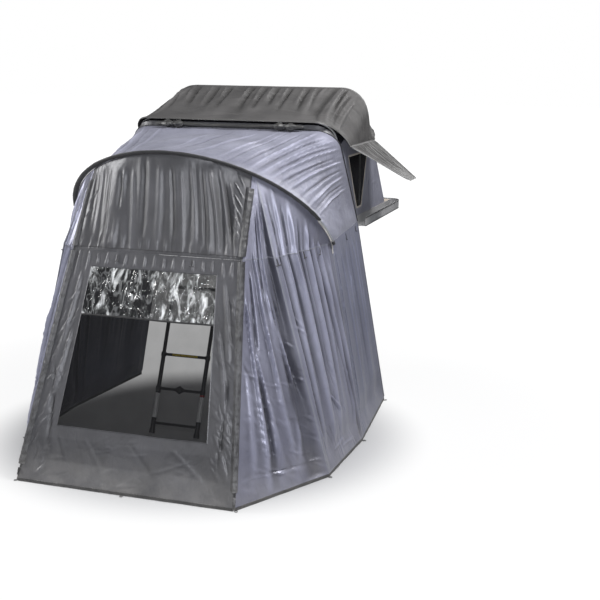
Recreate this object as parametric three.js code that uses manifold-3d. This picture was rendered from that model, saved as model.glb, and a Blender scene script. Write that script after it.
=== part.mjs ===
// Awning room hung from a fold-out roof tent, with its arch pole, zipped front door and ladder.
// Millimetres, +Z up, +X along the carrying vehicle, +Y towards it. The front door faces -Y.
import * as THREE from 'three';
import Module from 'manifold-3d';
import { mergeVertices } from 'three/addons/utils/BufferGeometryUtils.js';

const wasm = await Module();
wasm.setup();

// Cloth and clearances
const cloth = 3;
const seam = 0.25;
const touch = 0.4;
const overrun = 5;
const deckTop = 1720;
const deckThickness = 30;
const deckHalf = 931;
const deckBottom = deckTop - deckThickness;
const seamHeight = 1700;
const roomCoreY = -1200;

// Arch pole over the front of the room
const archOutset = 193;
const archHalf = deckHalf + archOutset;
const archFootY = -1285;
const archReach = 1126;
const archTilt = THREE.MathUtils.degToRad(42.5);
const poleRadius = 8;
const poleWall = 1.5;
const sleeveRadial = 21;
const sleeveDeep = 10;
const sleeveSeam = 1.7;
const sleeveEndAngle = THREE.MathUtils.degToRad(17);
const doorEdgeAngle = THREE.MathUtils.degToRad(53);
const sideEdgeAngle = THREE.MathUtils.degToRad(51);

// Ground plan of the room: half widths and places of its corners
const hemHeight = 25;
const hemThickness = 6;
const doorHalfTop = 700;
const doorTopY = -2250;
const doorHalfBottom = 885;
const doorBottomY = -2895;
const seamHalf = 890;
const seamY = -2060;
const middleHalf = 1335;
const middleY = -2030;
const sideHalf = 1365;
const sideY = -1150;
const rearHalf = 1265;
const rearY = 10;

// Roof edge where the room is joined to the tent's front band
const joinOutset = 39;
const joinHalf = deckHalf + joinOutset;
const joinFootY = 0;
const joinTopY = -700;
const joinDrop = 335;
const joinRadius = 200;
const bandOutset = 3.6;
const bandHalf = deckHalf + bandOutset;
const bandFootY = 60;
const bandTopY = -692;
const bandRise = 45;
const bandRadius = 185;

// Window in the front door
const windowBelowSeam = 115;
const filmHeight = 353;
const windowTopZ = seamHeight - windowBelowSeam;
const windowSplitZ = windowTopZ - filmHeight;
const windowBottomZ = 425;
const windowHalfShare = 0.3675;

// Zips
const zipWidth = 8;
const zipDepth = 5;
const zipProud = 1.5;
const zipChannel = 5.8;
const zipBottomZ = 45;
const coverHalf = 32;
const coverRise = 13;
const coverThickness = 2.5;
const coverGap = 1.4;
const coverShoulder = 15;
const coverFall = 2;
const coverBottomZ = 130;
const coverHingeGap = 26;
const sliderWidth = 20;
const sliderLength = 30;
const sliderDepth = 6;
const sliderGap = 0.9;
const sliderZ = 85;
const pullLength = 38;
const pullWidth = 10;
const pullThickness = 2;

// Folds of the hanging cloth
const foldDepth = 15;
const roofSag = 22;
const skirtZ = 170;
const skirtTuck = 24;
const foldEdgeShare = 0.1;
const foldTopShare = 0.16;
const foldFullWidth = 500;

// Tent body
const tentHeight = 1170;
const ridgeZ = deckTop + tentHeight;
const wallX = deckHalf - 1;
const tubeRadius = 10;
const hoopFootLift = 6.4;
const frontHoopFootY = 60;
const frontHoopTopY = -660;
const frontHoopRadius = 165;
const ridgeY = 250;
const ridgeRadius = 230;
const rearBaseY = 1200;
const rearTopY = 324;
const rearDrop = 90;
const frontBaseY = -830;
const frontTopY = -682;
const frontDrop = 330;
const sideFrontDrop = 490;
const sideTopFrontY = -520;
const sideShoulder = 200;
const sidePeakDrop = 290;
const sidePeakFrontY = 80;
const sidePeakSetback = 150;
const sideRearDrop = 450;
const doorwayHalf = 430;
const doorwayBottom = 70;
const doorwayTop = 660;
const doorwayRadius = 80;
const wallCornerRadius = 260;
const rearCornerRadius = 560;
const netRise = 80;
const netHeight = 500;
const meshFrontBottomY = 110;
const meshFrontTopY = -200;
const meshRearBottomY = 270;
const meshRearTopY = 450;
const meshThickness = 1.5;

// Canopy
const canopyOutset = 54;
const canopyHalf = deckHalf + canopyOutset;
const canopyHemDrop = 490;
const canopyHemZ = ridgeZ - canopyHemDrop;
const canopyFrontY = -735;
const canopyFrontDrop = 260;
const canopyFrontZ = ridgeZ - canopyFrontDrop;
const canopyFrontHemY = -330;
const canopyRidgeFlat = 50;
const canopyRearY = 640;
const canopyRearDrop = 410;
const canopyRearZ = ridgeZ - canopyRearDrop;
const canopyRearHemY = 510;
const canopyRadius = 260;
const canopyFold = 7;

// Side window flaps
const flapReach = 435;
const flapDrop = 330;
const flapOuterFrontY = 150;
const flapOuterRearY = 400;
const flapRootGap = 0.8;
const bowRadius = 3;
const bowInset = 16;
const flapSag = 14;

// Rolled flap under the canopy's front edge
const rollHalf = 690;
const rollRadius = 21;
const rollSwell = 5;
const rollY = -757;
const tieX = 520;
const tieWidth = 14;
const tieThickness = 2;
const rollFloor = 4;

// Deck, rails and cover gutter
const deckFrontY = -850;
const deckHingeY = 250;
const deckRearY = 1440;
const deckCorner = 30;
const deckJoint = 2;
const hingeLeaf = 30;
const hingePlate = 2;
const hingeRadius = 5;
const railWidth = 50;
const railHeight = 35;
const railWall = 4;
const railSlot = 14;
const railLength = 1700;
const railFrontY = 520;
const railRearY = 1120;
const gutterWidth = 95;
const gutterDepth = 88;
const gutterSkin = 3;
const gutterFrontY = 95;
const gutterRadius = 60;

// Ladder
const ladderX = -176;
const ladderHalf = 206;
const ladderTilt = THREE.MathUtils.degToRad(23.2);
const ladderHingeOut = 26;
const ladderHingeZ = deckBottom;
const topTubeRadius = 12;
const tubeStep = 2;
const tubeGap = 0.4;
const sections = 5;
const firstRung = 228;
const sectionOverlap = 45;
const collarHeight = 36;
const collarProud = 4;
const rungWidth = 34;
const rungHeight = 22;
const footHeight = 24;
const footSole = 12;
const footRadius = 25;
const footBarUp = 90;
const pinRadius = 5;
const pinGap = 0.6;
const earThickness = 5;
const earGap = 1.2;
const bracketPlate = 4;
const bracketHeight = 56;
const buttonRadius = 13;
const buttonDepth = 8;
const buttonSeat = 6;
const buttonRung = 4;
const bossHalfWidth = 60;
const bossHalfHeight = 36;
const bossDepth = 6;
const bossInto = 1;

// Pole foot, straps, toggles and peg loops
const footCupWall = 4;
const footCupDepth = 30;
const footCupBase = 8;
const footBore = 9.2;
const strapThickness = 2.5;
const strapHalf = 10;
const strapBelowSeam = 85;
const toggleLength = 42;
const toggleRadius = 5;
const toggleLoop = 55;
const toggleStrapHalf = 5;
const toggleSpan = 0.03;
const toggleLift = 0.3;
const loopLength = 34;
const loopHalf = 12;
const loopBar = 4;
const loopThickness = 4;

const colours = {
  silver: 0x9a9ba6, grey: 0x636263, canopy: 0x4f4d4c, sleeve: 0x464648, black: 0x1d1d1f,
  film: 0xb9bdc0, mesh: 0x2a2b2d, alloy: 0xb8babd, bright: 0xd9dadb, wood: 0x8d8478,
  trim: 0xb9b2ab, gutter: 0x9c9ba0, ladder: 0x2c2d2f, orange: 0x35363a,
};

const group = new THREE.Group();

function addPiece(name, geometry, colour, roughness = 0.75, metalness = 0, parent = group) {
  const material = new THREE.MeshStandardMaterial({ color: colour, roughness, metalness });
  const piece = new THREE.Mesh(geometry, material);
  piece.name = name;
  parent.add(piece);
  return piece;
}

// Vector and share helpers
const vector = (x, y, z) => new THREE.Vector3(x, y, z);
const mix = (a, b, share) => a.clone().lerp(b, share);
const smooth = THREE.MathUtils.smoothstep;
const clamp = THREE.MathUtils.clamp;
const mirrored = (surface) => (u, v) => surface(u, v).multiply(vector(-1, 1, 1));
const sides = [['right', 1], ['left', -1]];
const forSide = (side, surface) => (side > 0 ? surface : mirrored(surface));
const steps = (count, from = 0, to = 1) =>
  Array.from({ length: count + 1 }, (_, i) => from + ((to - from) * i) / count);

// Direction from a point of the room's cloth to its inside
function inRoom(point) {
  return vector(0, roomCoreY, Math.min(point.z, seamHeight)).sub(point).normalize();
}

function inTent(point) {
  return vector(0, ridgeY, Math.min(point.z, deckTop)).sub(point).normalize();
}

function orient(positions, faces) {
  let volume = 0;
  const a = vector(0, 0, 0);
  const b = vector(0, 0, 0);
  const c = vector(0, 0, 0);
  for (const [i, j, k] of faces) {
    a.fromArray(positions[i]);
    b.fromArray(positions[j]);
    c.fromArray(positions[k]);
    volume += a.dot(b.cross(c));
  }
  const turned = volume < 0 ? faces.map(([i, j, k]) => [i, k, j]) : faces;
  const geometry = new THREE.BufferGeometry();
  geometry.setAttribute('position', new THREE.Float32BufferAttribute(positions.flat(), 3));
  geometry.setIndex(turned.flat());
  geometry.computeVertexNormals();
  return geometry;
}

// Closed thin body on a grid of a surface. Cells that skip() names are left open.
function sheetBody(surface, columns, rows, options = {}) {
  const { inward = inRoom, thickness = cloth, edges = [seam, seam, seam, seam], skip } = options;
  const [first, last, top, bottom] = edges;
  const positions = [];
  const grid = rows.map(() => []);
  const width = (v) => surface(columns[0], v).distanceTo(surface(columns.at(-1), v));
  const height = (u) => surface(u, rows[0]).distanceTo(surface(u, rows.at(-1)));
  rows.forEach((v, j) => {
    columns.forEach((u, i) => {
      const spanU = columns.at(-1) - columns[0];
      const spanV = rows.at(-1) - rows[0];
      let du = 0;
      let dv = 0;
      if (i === 0) du = (first / width(v)) * spanU;
      if (i === columns.length - 1) du = (-last / width(v)) * spanU;
      if (j === 0) dv = (top / height(u)) * spanV;
      if (j === rows.length - 1) dv = (-bottom / height(u)) * spanV;
      const outer = surface(u + du, v + dv);
      const inner = outer.clone().addScaledVector(inward(outer), thickness);
      grid[j].push(positions.length);
      positions.push(outer.toArray(), inner.toArray());
    });
  });
  const faces = [];
  const kept = (i, j) =>
    i >= 0 && j >= 0 && i < columns.length - 1 && j < rows.length - 1 && !(skip && skip(i, j));
  const wall = (p, q) => faces.push([p, q, q + 1], [p, q + 1, p + 1]);
  const used = new Set();
  for (let j = 0; j < rows.length - 1; j++) {
    for (let i = 0; i < columns.length - 1; i++) {
      if (!kept(i, j)) continue;
      const [a, b, c, d] = [grid[j][i], grid[j][i + 1], grid[j + 1][i + 1], grid[j + 1][i]];
      [a, b, c, d].forEach((p) => used.add(p));
      faces.push([a, c, b], [a, d, c], [a + 1, b + 1, c + 1], [a + 1, c + 1, d + 1]);
      if (!kept(i, j - 1)) wall(a, b);
      if (!kept(i + 1, j)) wall(b, c);
      if (!kept(i, j + 1)) wall(c, d);
      if (!kept(i - 1, j)) wall(d, a);
    }
  }
  const order = [...used].sort((p, q) => p - q).flatMap((p) => [p, p + 1]);
  const place = new Map(order.map((p, n) => [p, n]));
  return orient(order.map((p) => positions[p]), faces.map((face) => face.map((p) => place.get(p))));
}

// Patch between four edge curves; left and right run from the top edge to the bottom edge
function coons(top, bottom, left, right) {
  return (u, v) => {
    const point = mix(top(u), bottom(u), v).add(mix(left(v), right(v), u));
    const corners = mix(mix(top(0), top(1), u), mix(bottom(0), bottom(1), u), v);
    return point.sub(corners);
  };
}

// Sweep of a closed outline, with an optional inner outline of as many points
function sweepBody(frames, outline, hole) {
  const positions = [];
  const loops = hole ? [outline, hole] : [outline];
  const count = outline.length;
  for (const { at, a, b, scale = 1 } of frames) {
    for (const loop of loops) {
      for (const [x, y] of loop) {
        const point = at.clone().addScaledVector(a, x * scale).addScaledVector(b, y * scale);
        positions.push(point.toArray());
      }
    }
  }
  const ring = loops.length * count;
  const faces = [];
  for (let s = 0; s < frames.length - 1; s++) {
    loops.forEach((_, l) => {
      for (let n = 0; n < count; n++) {
        const p = s * ring + l * count + n;
        const q = s * ring + l * count + ((n + 1) % count);
        const quad = [[p, q, q + ring], [p, q + ring, p + ring]];
        faces.push(...(l ? quad.map(([i, j, k]) => [i, k, j]) : quad));
      }
    });
  }
  const end = (frames.length - 1) * ring;
  if (hole) {
    for (let n = 0; n < count; n++) {
      const m = (n + 1) % count;
      faces.push([n, count + m, m], [n, count + n, count + m]);
      faces.push([end + n, end + m, end + count + m], [end + n, end + count + m, end + count + n]);
    }
  } else {
    const points = outline.map(([x, y]) => new THREE.Vector2(x, y));
    for (const [i, j, k] of THREE.ShapeUtils.triangulateShape(points, [])) {
      faces.push([i, k, j], [end + i, end + j, end + k]);
    }
  }
  return orient(positions, faces);
}

function ellipse(a, b, count) {
  return steps(count, 0, 2 * Math.PI).slice(0, count).map((t) => [a * Math.cos(t), b * Math.sin(t)]);
}

function rectangle(a0, a1, b0, b1) {
  return [[a0, b0], [a1, b0], [a1, b1], [a0, b1]];
}

// Boolean helpers
function solid(geometry, matrix) {
  const bare = geometry.clone();
  if (matrix) bare.applyMatrix4(matrix);
  for (const key of Object.keys(bare.attributes)) if (key !== 'position') bare.deleteAttribute(key);
  const merged = mergeVertices(bare, touch / 100);
  return new wasm.Manifold(new wasm.Mesh({
    numProp: 3,
    vertProperties: new Float32Array(merged.attributes.position.array),
    triVerts: new Uint32Array(merged.index.array),
  }));
}

function asGeometry(body) {
  const mesh = body.getMesh();
  const geometry = new THREE.BufferGeometry();
  geometry.setAttribute('position', new THREE.BufferAttribute(new Float32Array(mesh.vertProperties), 3));
  geometry.setIndex(new THREE.BufferAttribute(new Uint32Array(mesh.triVerts), 1));
  geometry.computeVertexNormals();
  return geometry;
}

const moved = (x, y, z) => new THREE.Matrix4().makeTranslation(x, y, z);
const join = (bodies) => bodies.reduce((whole, body) => whole.add(body));

// Arch of the front pole and the seam line along the inside of its sleeve
const archUp = vector(0, -Math.cos(archTilt), Math.sin(archTilt));
const archNormal = vector(0, Math.sin(archTilt), Math.cos(archTilt));

function archPoint(angle) {
  return vector(archHalf * Math.cos(angle), archFootY, seamHeight)
    .addScaledVector(archUp, archReach * Math.sin(angle));
}

function archOut(angle) {
  return vector(Math.cos(angle) / archHalf, 0, 0)
    .addScaledVector(archUp, Math.sin(angle) / archReach).normalize();
}

function archSeam(angle) {
  return archPoint(angle).addScaledVector(archOut(angle), -(sleeveRadial + sleeveSeam));
}

function archFrames(angles, inset = 0) {
  return angles.map((angle) => {
    const a = archOut(angle);
    return { at: archPoint(angle).addScaledVector(a, -inset), a, b: archNormal };
  });
}

const sleeveAngles = steps(26, sleeveEndAngle, Math.PI - sleeveEndAngle);
const bareAngles = [0, 0.12, 0.55].map((share) => share * sleeveEndAngle);

// Inverted U with straight legs, round shoulders and a straight top, in a leaning plane
function bowCurve(half, footY, footZ, topY, topZ, radius, breaks) {
  const up = vector(0, topY - footY, topZ - footZ);
  const height = up.length();
  up.normalize();
  const leg = height - radius;
  const bend = (Math.PI / 2) * radius;
  const bar = 2 * (half - radius);
  const total = 2 * leg + 2 * bend + bar;
  const [legShare, bendShare] = breaks || [leg / total, (leg + bend) / total];
  const flat = (share) => {
    if (share < legShare) return [half, (leg * share) / legShare, 1, 0];
    if (share < bendShare) {
      const turn = ((Math.PI / 2) * (share - legShare)) / (bendShare - legShare);
      return [
        half - radius + radius * Math.cos(turn), leg + radius * Math.sin(turn),
        Math.cos(turn), Math.sin(turn),
      ];
    }
    return [(half - radius) * (1 - (share - bendShare) / (0.5 - bendShare)), height, 0, 1];
  };
  const place = (share) => {
    const second = share > 0.5;
    const [x, h, nx, nh] = flat(second ? 1 - share : share);
    const side = second ? -1 : 1;
    return {
      at: vector(side * x, footY, footZ).addScaledVector(up, h),
      a: vector(side * nx, 0, 0).addScaledVector(up, nh).normalize(),
      b: vector(0, up.z, -up.y),
    };
  };
  const columns = (legs, bends, bars) => [
    ...steps(legs, 0, legShare), ...steps(bends, legShare, bendShare).slice(1),
    ...steps(bars, bendShare, 1 - bendShare).slice(1),
    ...steps(bends, 1 - bendShare, 1 - legShare).slice(1), ...steps(legs, 1 - legShare, 1).slice(1),
  ];
  return { place, columns, at: (share) => place(share).at };
}

const joinTopZ = ridgeZ - joinDrop;
const bandTopZ = joinTopZ + bandRise;
const joinCurve = bowCurve(joinHalf, joinFootY, deckBottom, joinTopY, joinTopZ, joinRadius);
const bandCurve = bowCurve(bandHalf, bandFootY, deckBottom, bandTopY, bandTopZ, bandRadius);

// Edge lines of the wall panels on the right, from the arch or deck down to the hem
const doorTop = vector(doorHalfTop, doorTopY, seamHeight);
const doorFoot = vector(doorHalfBottom, doorBottomY, hemHeight);
const sideTop = vector(seamHalf, seamY, seamHeight);
const middleFoot = vector(middleHalf, middleY, hemHeight);
const sideFoot = vector(sideHalf, sideY, hemHeight);
const rearFoot = vector(rearHalf, rearY, hemHeight);
const doorArch = archSeam(doorEdgeAngle);
const sideArch = archSeam(sideEdgeAngle);
const footArch = archSeam(0);
const joinFoot = joinCurve.at(0);
const doorBreakShare = (doorArch.z - seamHeight) / (doorArch.z - hemHeight);

// Wall panel with a crease at the seam's height, between its top curve and its foot
function creased(top, middle, bottom) {
  return (u, v) => (v < doorBreakShare
    ? mix(top(u), middle(u), v / doorBreakShare)
    : mix(middle(u), bottom(u), (v - doorBreakShare) / (1 - doorBreakShare)));
}

const line = (from, to) => (share) => mix(from, to, share);
const fixed = (point) => () => point;
const doorLine = (v) => creased(fixed(doorArch), fixed(doorTop), fixed(doorFoot))(0, v);

const footLine = line(footArch, sideFoot);
const rearLine = line(joinFoot, rearFoot);
const flip = (point) => point.clone().multiply(vector(-1, 1, 1));

// Hanging folds: zero along the seams, deepest between them, shallow where the panel is narrow
function hang(surface, folds, phase, depth = foldDepth) {
  return (u, v) => {
    const point = surface(u, v);
    const across = smooth(u, 0, foldEdgeShare) * smooth(1 - u, 0, foldEdgeShare);
    const down = smooth(v, 0, foldTopShare) * smooth(1 - v, 0, foldEdgeShare);
    const wave = Math.cos(2 * Math.PI * folds * u + phase) + Math.cos(2 * Math.PI * (folds + 1) * u);
    const tuck = Math.max(0, 1 - Math.abs(point.z - skirtZ) / skirtZ);
    const wide = smooth(surface(0, v).distanceTo(surface(1, v)), 0, foldFullWidth);
    const push = (depth / 2) * wave * down * across * wide - skirtTuck * tuck * across;
    return point.addScaledVector(inRoom(point), -push);
  };
}

const frontSurface = coons(
  (u) => archSeam(doorEdgeAngle + (Math.PI - 2 * doorEdgeAngle) * u),
  line(doorTop, flip(doorTop)),
  line(doorArch, doorTop),
  line(flip(doorArch), flip(doorTop)),
);
const doorSurface = coons(
  line(doorTop, flip(doorTop)),
  line(doorFoot, flip(doorFoot)),
  line(doorTop, doorFoot),
  line(flip(doorTop), flip(doorFoot)),
);
const frontCloth = hang(frontSurface, 4, 0);
const doorCloth = hang(doorSurface, 2, 1, foldDepth / 2);

const sideFrontCloth = hang(creased(
  (u) => archSeam(sideEdgeAngle + (doorEdgeAngle - sideEdgeAngle) * u),
  line(sideTop, doorTop), line(middleFoot, doorFoot),
), 1, 3);
const sideMiddleCloth = hang(creased(
  (u) => archSeam(sideEdgeAngle * u), line(footArch, sideTop), line(sideFoot, middleFoot),
), 2, 0);
const sideRearCloth = hang(coons(
  line(joinFoot, footArch), line(rearFoot, sideFoot), rearLine, footLine,
), 2, 2);

// Room roof, from the arch to the tent's band, with its sag and slanting creases
function roofCloth(u, v) {
  const point = mix(archSeam(Math.PI * u), joinCurve.at(u), v);
  const across = smooth(u, 0, foldEdgeShare) * smooth(1 - u, 0, foldEdgeShare);
  const along = smooth(v, 0, foldTopShare) * smooth(1 - v, 0, foldTopShare);
  const crease = Math.cos(2 * Math.PI * (5 * Math.abs(u - 0.5) + 2 * v));
  const push = (roofSag + (foldDepth / 3) * crease) * along * across;
  return point.addScaledVector(inRoom(point), push);
}

const zipEdge = [zipChannel, zipChannel, seam, seam];
addPiece('roof_panel', sheetBody(roofCloth, joinCurve.columns(5, 4, 8), steps(10)), colours.silver);
addPiece('front_upper_wall', sheetBody(frontCloth, steps(18), steps(6), { edges: zipEdge }), colours.grey);

const creasedRows = [...steps(3, 0, doorBreakShare), ...steps(9, doorBreakShare, 1).slice(1)];
for (const [name, side] of sides) {
  const edges = side > 0 ? [seam, zipChannel, seam, seam] : [seam, zipChannel, seam, seam];
  const cut = (surface) => forSide(side, surface);
  addPiece(`side_front_${name}`,
    sheetBody(cut(sideFrontCloth), steps(6), creasedRows, { edges }), colours.silver);
  addPiece(`side_middle_${name}`, sheetBody(cut(sideMiddleCloth), steps(14), creasedRows), colours.silver);
  addPiece(`side_rear_${name}`, sheetBody(cut(sideRearCloth), steps(10), steps(10)), colours.silver);
}

// Front door with its window of clear film above and dark mesh below
const doorV = (z) => (seamHeight - z) / (seamHeight - hemHeight);
const windowColumns = [0.5 - windowHalfShare, 0.5 + windowHalfShare];
const doorColumns = [...steps(3, 0, windowColumns[0]), ...steps(9, ...windowColumns).slice(1),
  ...steps(3, windowColumns[1], 1).slice(1)];
const doorRows = [...steps(2, 0, doorV(windowTopZ)),
  ...steps(7, doorV(windowTopZ), doorV(windowBottomZ)).slice(1),
  ...steps(4, doorV(windowBottomZ), 1).slice(1)];
const inWindow = (i, j) => i >= 3 && i < 12 && j >= 2 && j < 9;
addPiece('front_door', sheetBody(doorCloth, doorColumns, doorRows, {
  edges: zipEdge, skip: inWindow,
}), colours.grey);
const paneEdges = [touch, touch, touch, touch];
addPiece('window_film', sheetBody(doorCloth, doorColumns.slice(3, 13),
  steps(3, doorV(windowTopZ), doorV(windowSplitZ)),
  { edges: paneEdges, thickness: cloth / 2 }), colours.film, 0.2);
addPiece('window_mesh', sheetBody(doorCloth, doorColumns.slice(3, 13),
  steps(5, doorV(windowSplitZ), doorV(windowBottomZ)),
  { edges: paneEdges, thickness: cloth / 2 }), colours.mesh);

// Zip coils, covers and sliders beside the door
function zipFrame(point, side = 1) {
  const out = inRoom(point).negate();
  out.z = 0;
  out.normalize();
  return { at: point, a: vector(-out.y * side, out.x * side, 0), b: out };
}

const zipTopShare = 0.02;
const zipEndShare = (doorArch.z - zipBottomZ) / (doorArch.z - hemHeight);
const zipShares = [zipTopShare, doorBreakShare, ...steps(3, doorBreakShare, zipEndShare).slice(1)];
const zipLine = (side) => (v) => (side > 0 ? doorLine(v) : flip(doorLine(v)));

// Strip over the zip, low along both edges and raised over the slider
function zipCover(side, from, to, rows) {
  const wallSurface = forSide(side, sideFrontCloth);
  const strip = (u, v) => {
    const share = from + (to - from) * v;
    const centre = zipLine(side)(share);
    const frame = zipFrame(centre);
    const upper = share < doorBreakShare;
    const own = upper ? share / doorBreakShare : (share - doorBreakShare) / (1 - doorBreakShare);
    const face = upper ? frontCloth : doorCloth;
    const width = face(0, own).distanceTo(face(1, own));
    const inner = face(side > 0 ? coverHalf / width : 1 - coverHalf / width, own);
    const span = wallSurface(0, share).distanceTo(wallSurface(1, share));
    const outer = wallSurface(1 - Math.min(0.45, coverHalf / span), share);
    const near = u < 0.5 ? inner : outer;
    const low = near.clone().addScaledVector(frame.b, coverThickness + coverGap);
    const high = centre.clone().addScaledVector(frame.b, coverRise + coverThickness);
    const across = near.clone().sub(centre);
    across.addScaledVector(frame.b, -across.dot(frame.b)).normalize();
    const shoulder = high.clone().addScaledVector(across, coverShoulder).addScaledVector(frame.b, -coverFall);
    const away = Math.abs(u - 0.5) * 4;
    return away < 1 ? mix(high, shoulder, away) : mix(shoulder, low, away - 1);
  };
  return sheetBody(strip, steps(4), steps(rows), { edges: [0, 0, 0, 0], thickness: coverThickness });
}

const coverEndShare = (doorArch.z - coverBottomZ) / (doorArch.z - hemHeight);
const hingeShare = coverHingeGap / (doorArch.z - hemHeight);
const sliderStart = line(doorTop, doorFoot)((seamHeight - sliderZ) / (seamHeight - hemHeight));
const zipAway = doorTop.clone().sub(doorFoot).normalize();

for (const [name, side] of sides) {
  const frames = zipShares.map((share) => zipFrame(zipLine(side)(share)));
  const half = zipWidth / 2;
  addPiece(`zip_coil_${name}`,
    sweepBody(frames, rectangle(-half, half, zipProud - zipDepth, zipProud)), colours.black);
  addPiece(`zip_cover_upper_${name}`,
    zipCover(side, 2 * zipTopShare, doorBreakShare - hingeShare, 4), colours.sleeve);
  addPiece(`zip_cover_lower_${name}`,
    zipCover(side, doorBreakShare + hingeShare / 3, coverEndShare, 8), colours.sleeve);
  const at = side > 0 ? sliderStart : flip(sliderStart);
  const away = side > 0 ? zipAway : flip(zipAway);
  const { a, b } = zipFrame(at);
  const low = zipProud + sliderGap;
  const run = (from, to, outline) => sweepBody([from, to].map((d) => (
    { at: at.clone().addScaledVector(away, d), a, b })), outline);
  const block = run(-sliderLength / 2, sliderLength / 2,
    rectangle(-sliderWidth / 2, sliderWidth / 2, low, low + sliderDepth));
  const pull = run(-pullLength, 0,
    rectangle(-pullWidth / 2, pullWidth / 2, low + sliderDepth - pullThickness, low + sliderDepth + touch));
  addPiece(`zip_slider_${name}`, asGeometry(solid(block).add(solid(pull))), colours.black, 0.4, 0.6);
}

// Arch pole in its sleeve, with a foot cup and a strap at each end
const poleAngles = [...bareAngles, ...sleeveAngles, ...bareAngles.map((angle) => Math.PI - angle).reverse()];
addPiece('arch_pole', sweepBody(archFrames(poleAngles),
  ellipse(poleRadius, poleRadius, 10), ellipse(poleRadius - poleWall, poleRadius - poleWall, 10)),
colours.bright, 0.3, 0.9);
const sleeveBore = poleRadius + 2 * touch;
addPiece('arch_sleeve', sweepBody(archFrames(sleeveAngles),
  ellipse(sleeveRadial, sleeveDeep, 12), ellipse(sleeveBore, sleeveBore, 12)), colours.sleeve);

for (const [name, side] of sides) {
  const face = (point) => (side > 0 ? point : flip(point));
  const cupOuter = footBore + footCupWall;
  const profile = [
    [0, -footCupBase], [cupOuter, -footCupBase], [cupOuter, footCupDepth],
    [footBore, footCupDepth], [footBore, 0], [0, 0],
  ].map(([r, h]) => new THREE.Vector2(r, h));
  const cup = new THREE.LatheGeometry(profile, 14);
  const turn = new THREE.Quaternion().setFromUnitVectors(vector(0, 1, 0), archUp);
  const cupAt = archPoint(0).addScaledVector(archUp, -touch);
  const place = new THREE.Matrix4().compose(face(cupAt), turn, vector(1, 1, 1));
  addPiece(`arch_foot_${name}`, asGeometry(solid(cup, place)), colours.black, 0.5);

  const inset = cupOuter + touch + strapThickness / 2;
  const upper = archFrames([0.98, 0.7, 0.35, 0].map((share) => share * sleeveEndAngle), inset);
  const under = upper.at(-1);
  upper.push({ ...under, at: under.at.clone().addScaledVector(archUp, -footCupBase - 2 * touch) });
  const strapEndShare = (footArch.z - seamHeight + strapBelowSeam) / (footArch.z - hemHeight);
  const end = footLine(strapEndShare);
  const out = inRoom(end).negate();
  const lower = { at: end.clone().addScaledVector(out, strapThickness + touch), a: out, b: vector(0, 1, 0) };
  const frames = [...upper, lower].map(({ at, a, b }) => ({ at: face(at), a: face(a), b }));
  addPiece(`foot_strap_${name}`, sweepBody(frames,
    rectangle(-strapThickness / 2, strapThickness / 2, -strapHalf, strapHalf)), colours.trim);
}

// Hem webbing on the ground, with a ring for a peg at each corner
function hemBody(corners, loops) {
  const frames = corners.map((corner) => {
    const at = corner.clone().setZ(0);
    const a = inRoom(at).negate();
    a.z = 0;
    return { at, a: a.normalize(), b: vector(0, 0, 1) };
  });
  const strip = solid(sweepBody(frames, rectangle(-hemThickness, 0, 0, hemHeight - seam)));
  const rings = loops.map((corner) => {
    const out = inRoom(corner).negate();
    const shape = new THREE.Shape(rectangle(-loopHalf, loopHalf, 0, loopLength)
      .map(([x, y]) => new THREE.Vector2(x, y)));
    shape.holes.push(new THREE.Path(
      rectangle(-loopHalf + loopBar, loopHalf - loopBar, loopBar, loopLength - loopBar)
        .map(([x, y]) => new THREE.Vector2(x, y))));
    const ring = new THREE.ExtrudeGeometry(shape, { depth: loopThickness, bevelEnabled: false });
    const turn = new THREE.Matrix4().makeRotationZ(Math.atan2(out.y, out.x) - Math.PI / 2);
    const at = corner.clone().addScaledVector(out, -hemThickness / 2);
    return solid(ring, moved(at.x, at.y, loopThickness / 2).multiply(turn));
  });
  return asGeometry(join([strip, ...rings]));
}

const hemStart = mix(doorFoot, middleFoot, zipChannel / doorFoot.distanceTo(middleFoot));
const doorHemEnd = mix(doorFoot, flip(doorFoot), zipChannel / (2 * doorHalfBottom));
for (const [name, side] of sides) {
  const turn = (points) => (side > 0 ? points : points.map(flip));
  addPiece(`hem_${name}`, hemBody(
    turn([hemStart, middleFoot, sideFoot, rearFoot]),
    turn([mix(hemStart, middleFoot, loopHalf / middleY * -2), middleFoot, sideFoot,
      mix(rearFoot, sideFoot, loopHalf / middleHalf * 2)]),
  ), colours.black);
}
addPiece('hem_front',
  hemBody([doorHemEnd, flip(doorHemEnd)], [mix(doorFoot, flip(doorFoot), 0.5)]), colours.black);

// Toggles at deck height that hold the rolled side cloth
for (const [name, side] of sides) {
  const surface = forSide(side, sideMiddleCloth);
  const below = (drop) => doorBreakShare + ((1 - doorBreakShare) * drop) / (seamHeight - hemHeight);
  const at = surface(0.5, doorBreakShare);
  const beside = surface(0.5 + toggleSpan, doorBreakShare).sub(at);
  const out = surface(0.5, below(toggleLoop)).sub(at).cross(beside).setZ(0).normalize();
  if (out.x * side < 0) out.negate();
  const along = vector(-out.y, out.x, 0);
  const down = [0, toggleLoop].map((drop) => {
    const low = surface(0.5, below(drop));
    return { at: low.addScaledVector(out, strapThickness / 2 + touch + toggleLift), a: along, b: out };
  });
  const strap = sweepBody(down,
    rectangle(-toggleStrapHalf, toggleStrapHalf, -strapThickness / 2, strapThickness / 2));
  const bar = [-1, 1].map((end) => ({
    at: down[1].at.clone().addScaledVector(out, toggleRadius)
      .addScaledVector(along, (end * toggleLength) / 2),
    a: vector(0, 0, 1), b: out,
  }));
  addPiece(`toggle_${name}`,
    asGeometry(solid(strap).add(solid(sweepBody(bar, ellipse(toggleRadius, toggleRadius, 10))))),
    colours.black);
}

// Tent: band, canopy and hoops
addPiece('front_band', sheetBody((u, v) => mix(joinCurve.at(u), bandCurve.at(u), v),
  joinCurve.columns(2, 6, 1), [0, 1], { inward: inTent }), colours.silver);

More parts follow.
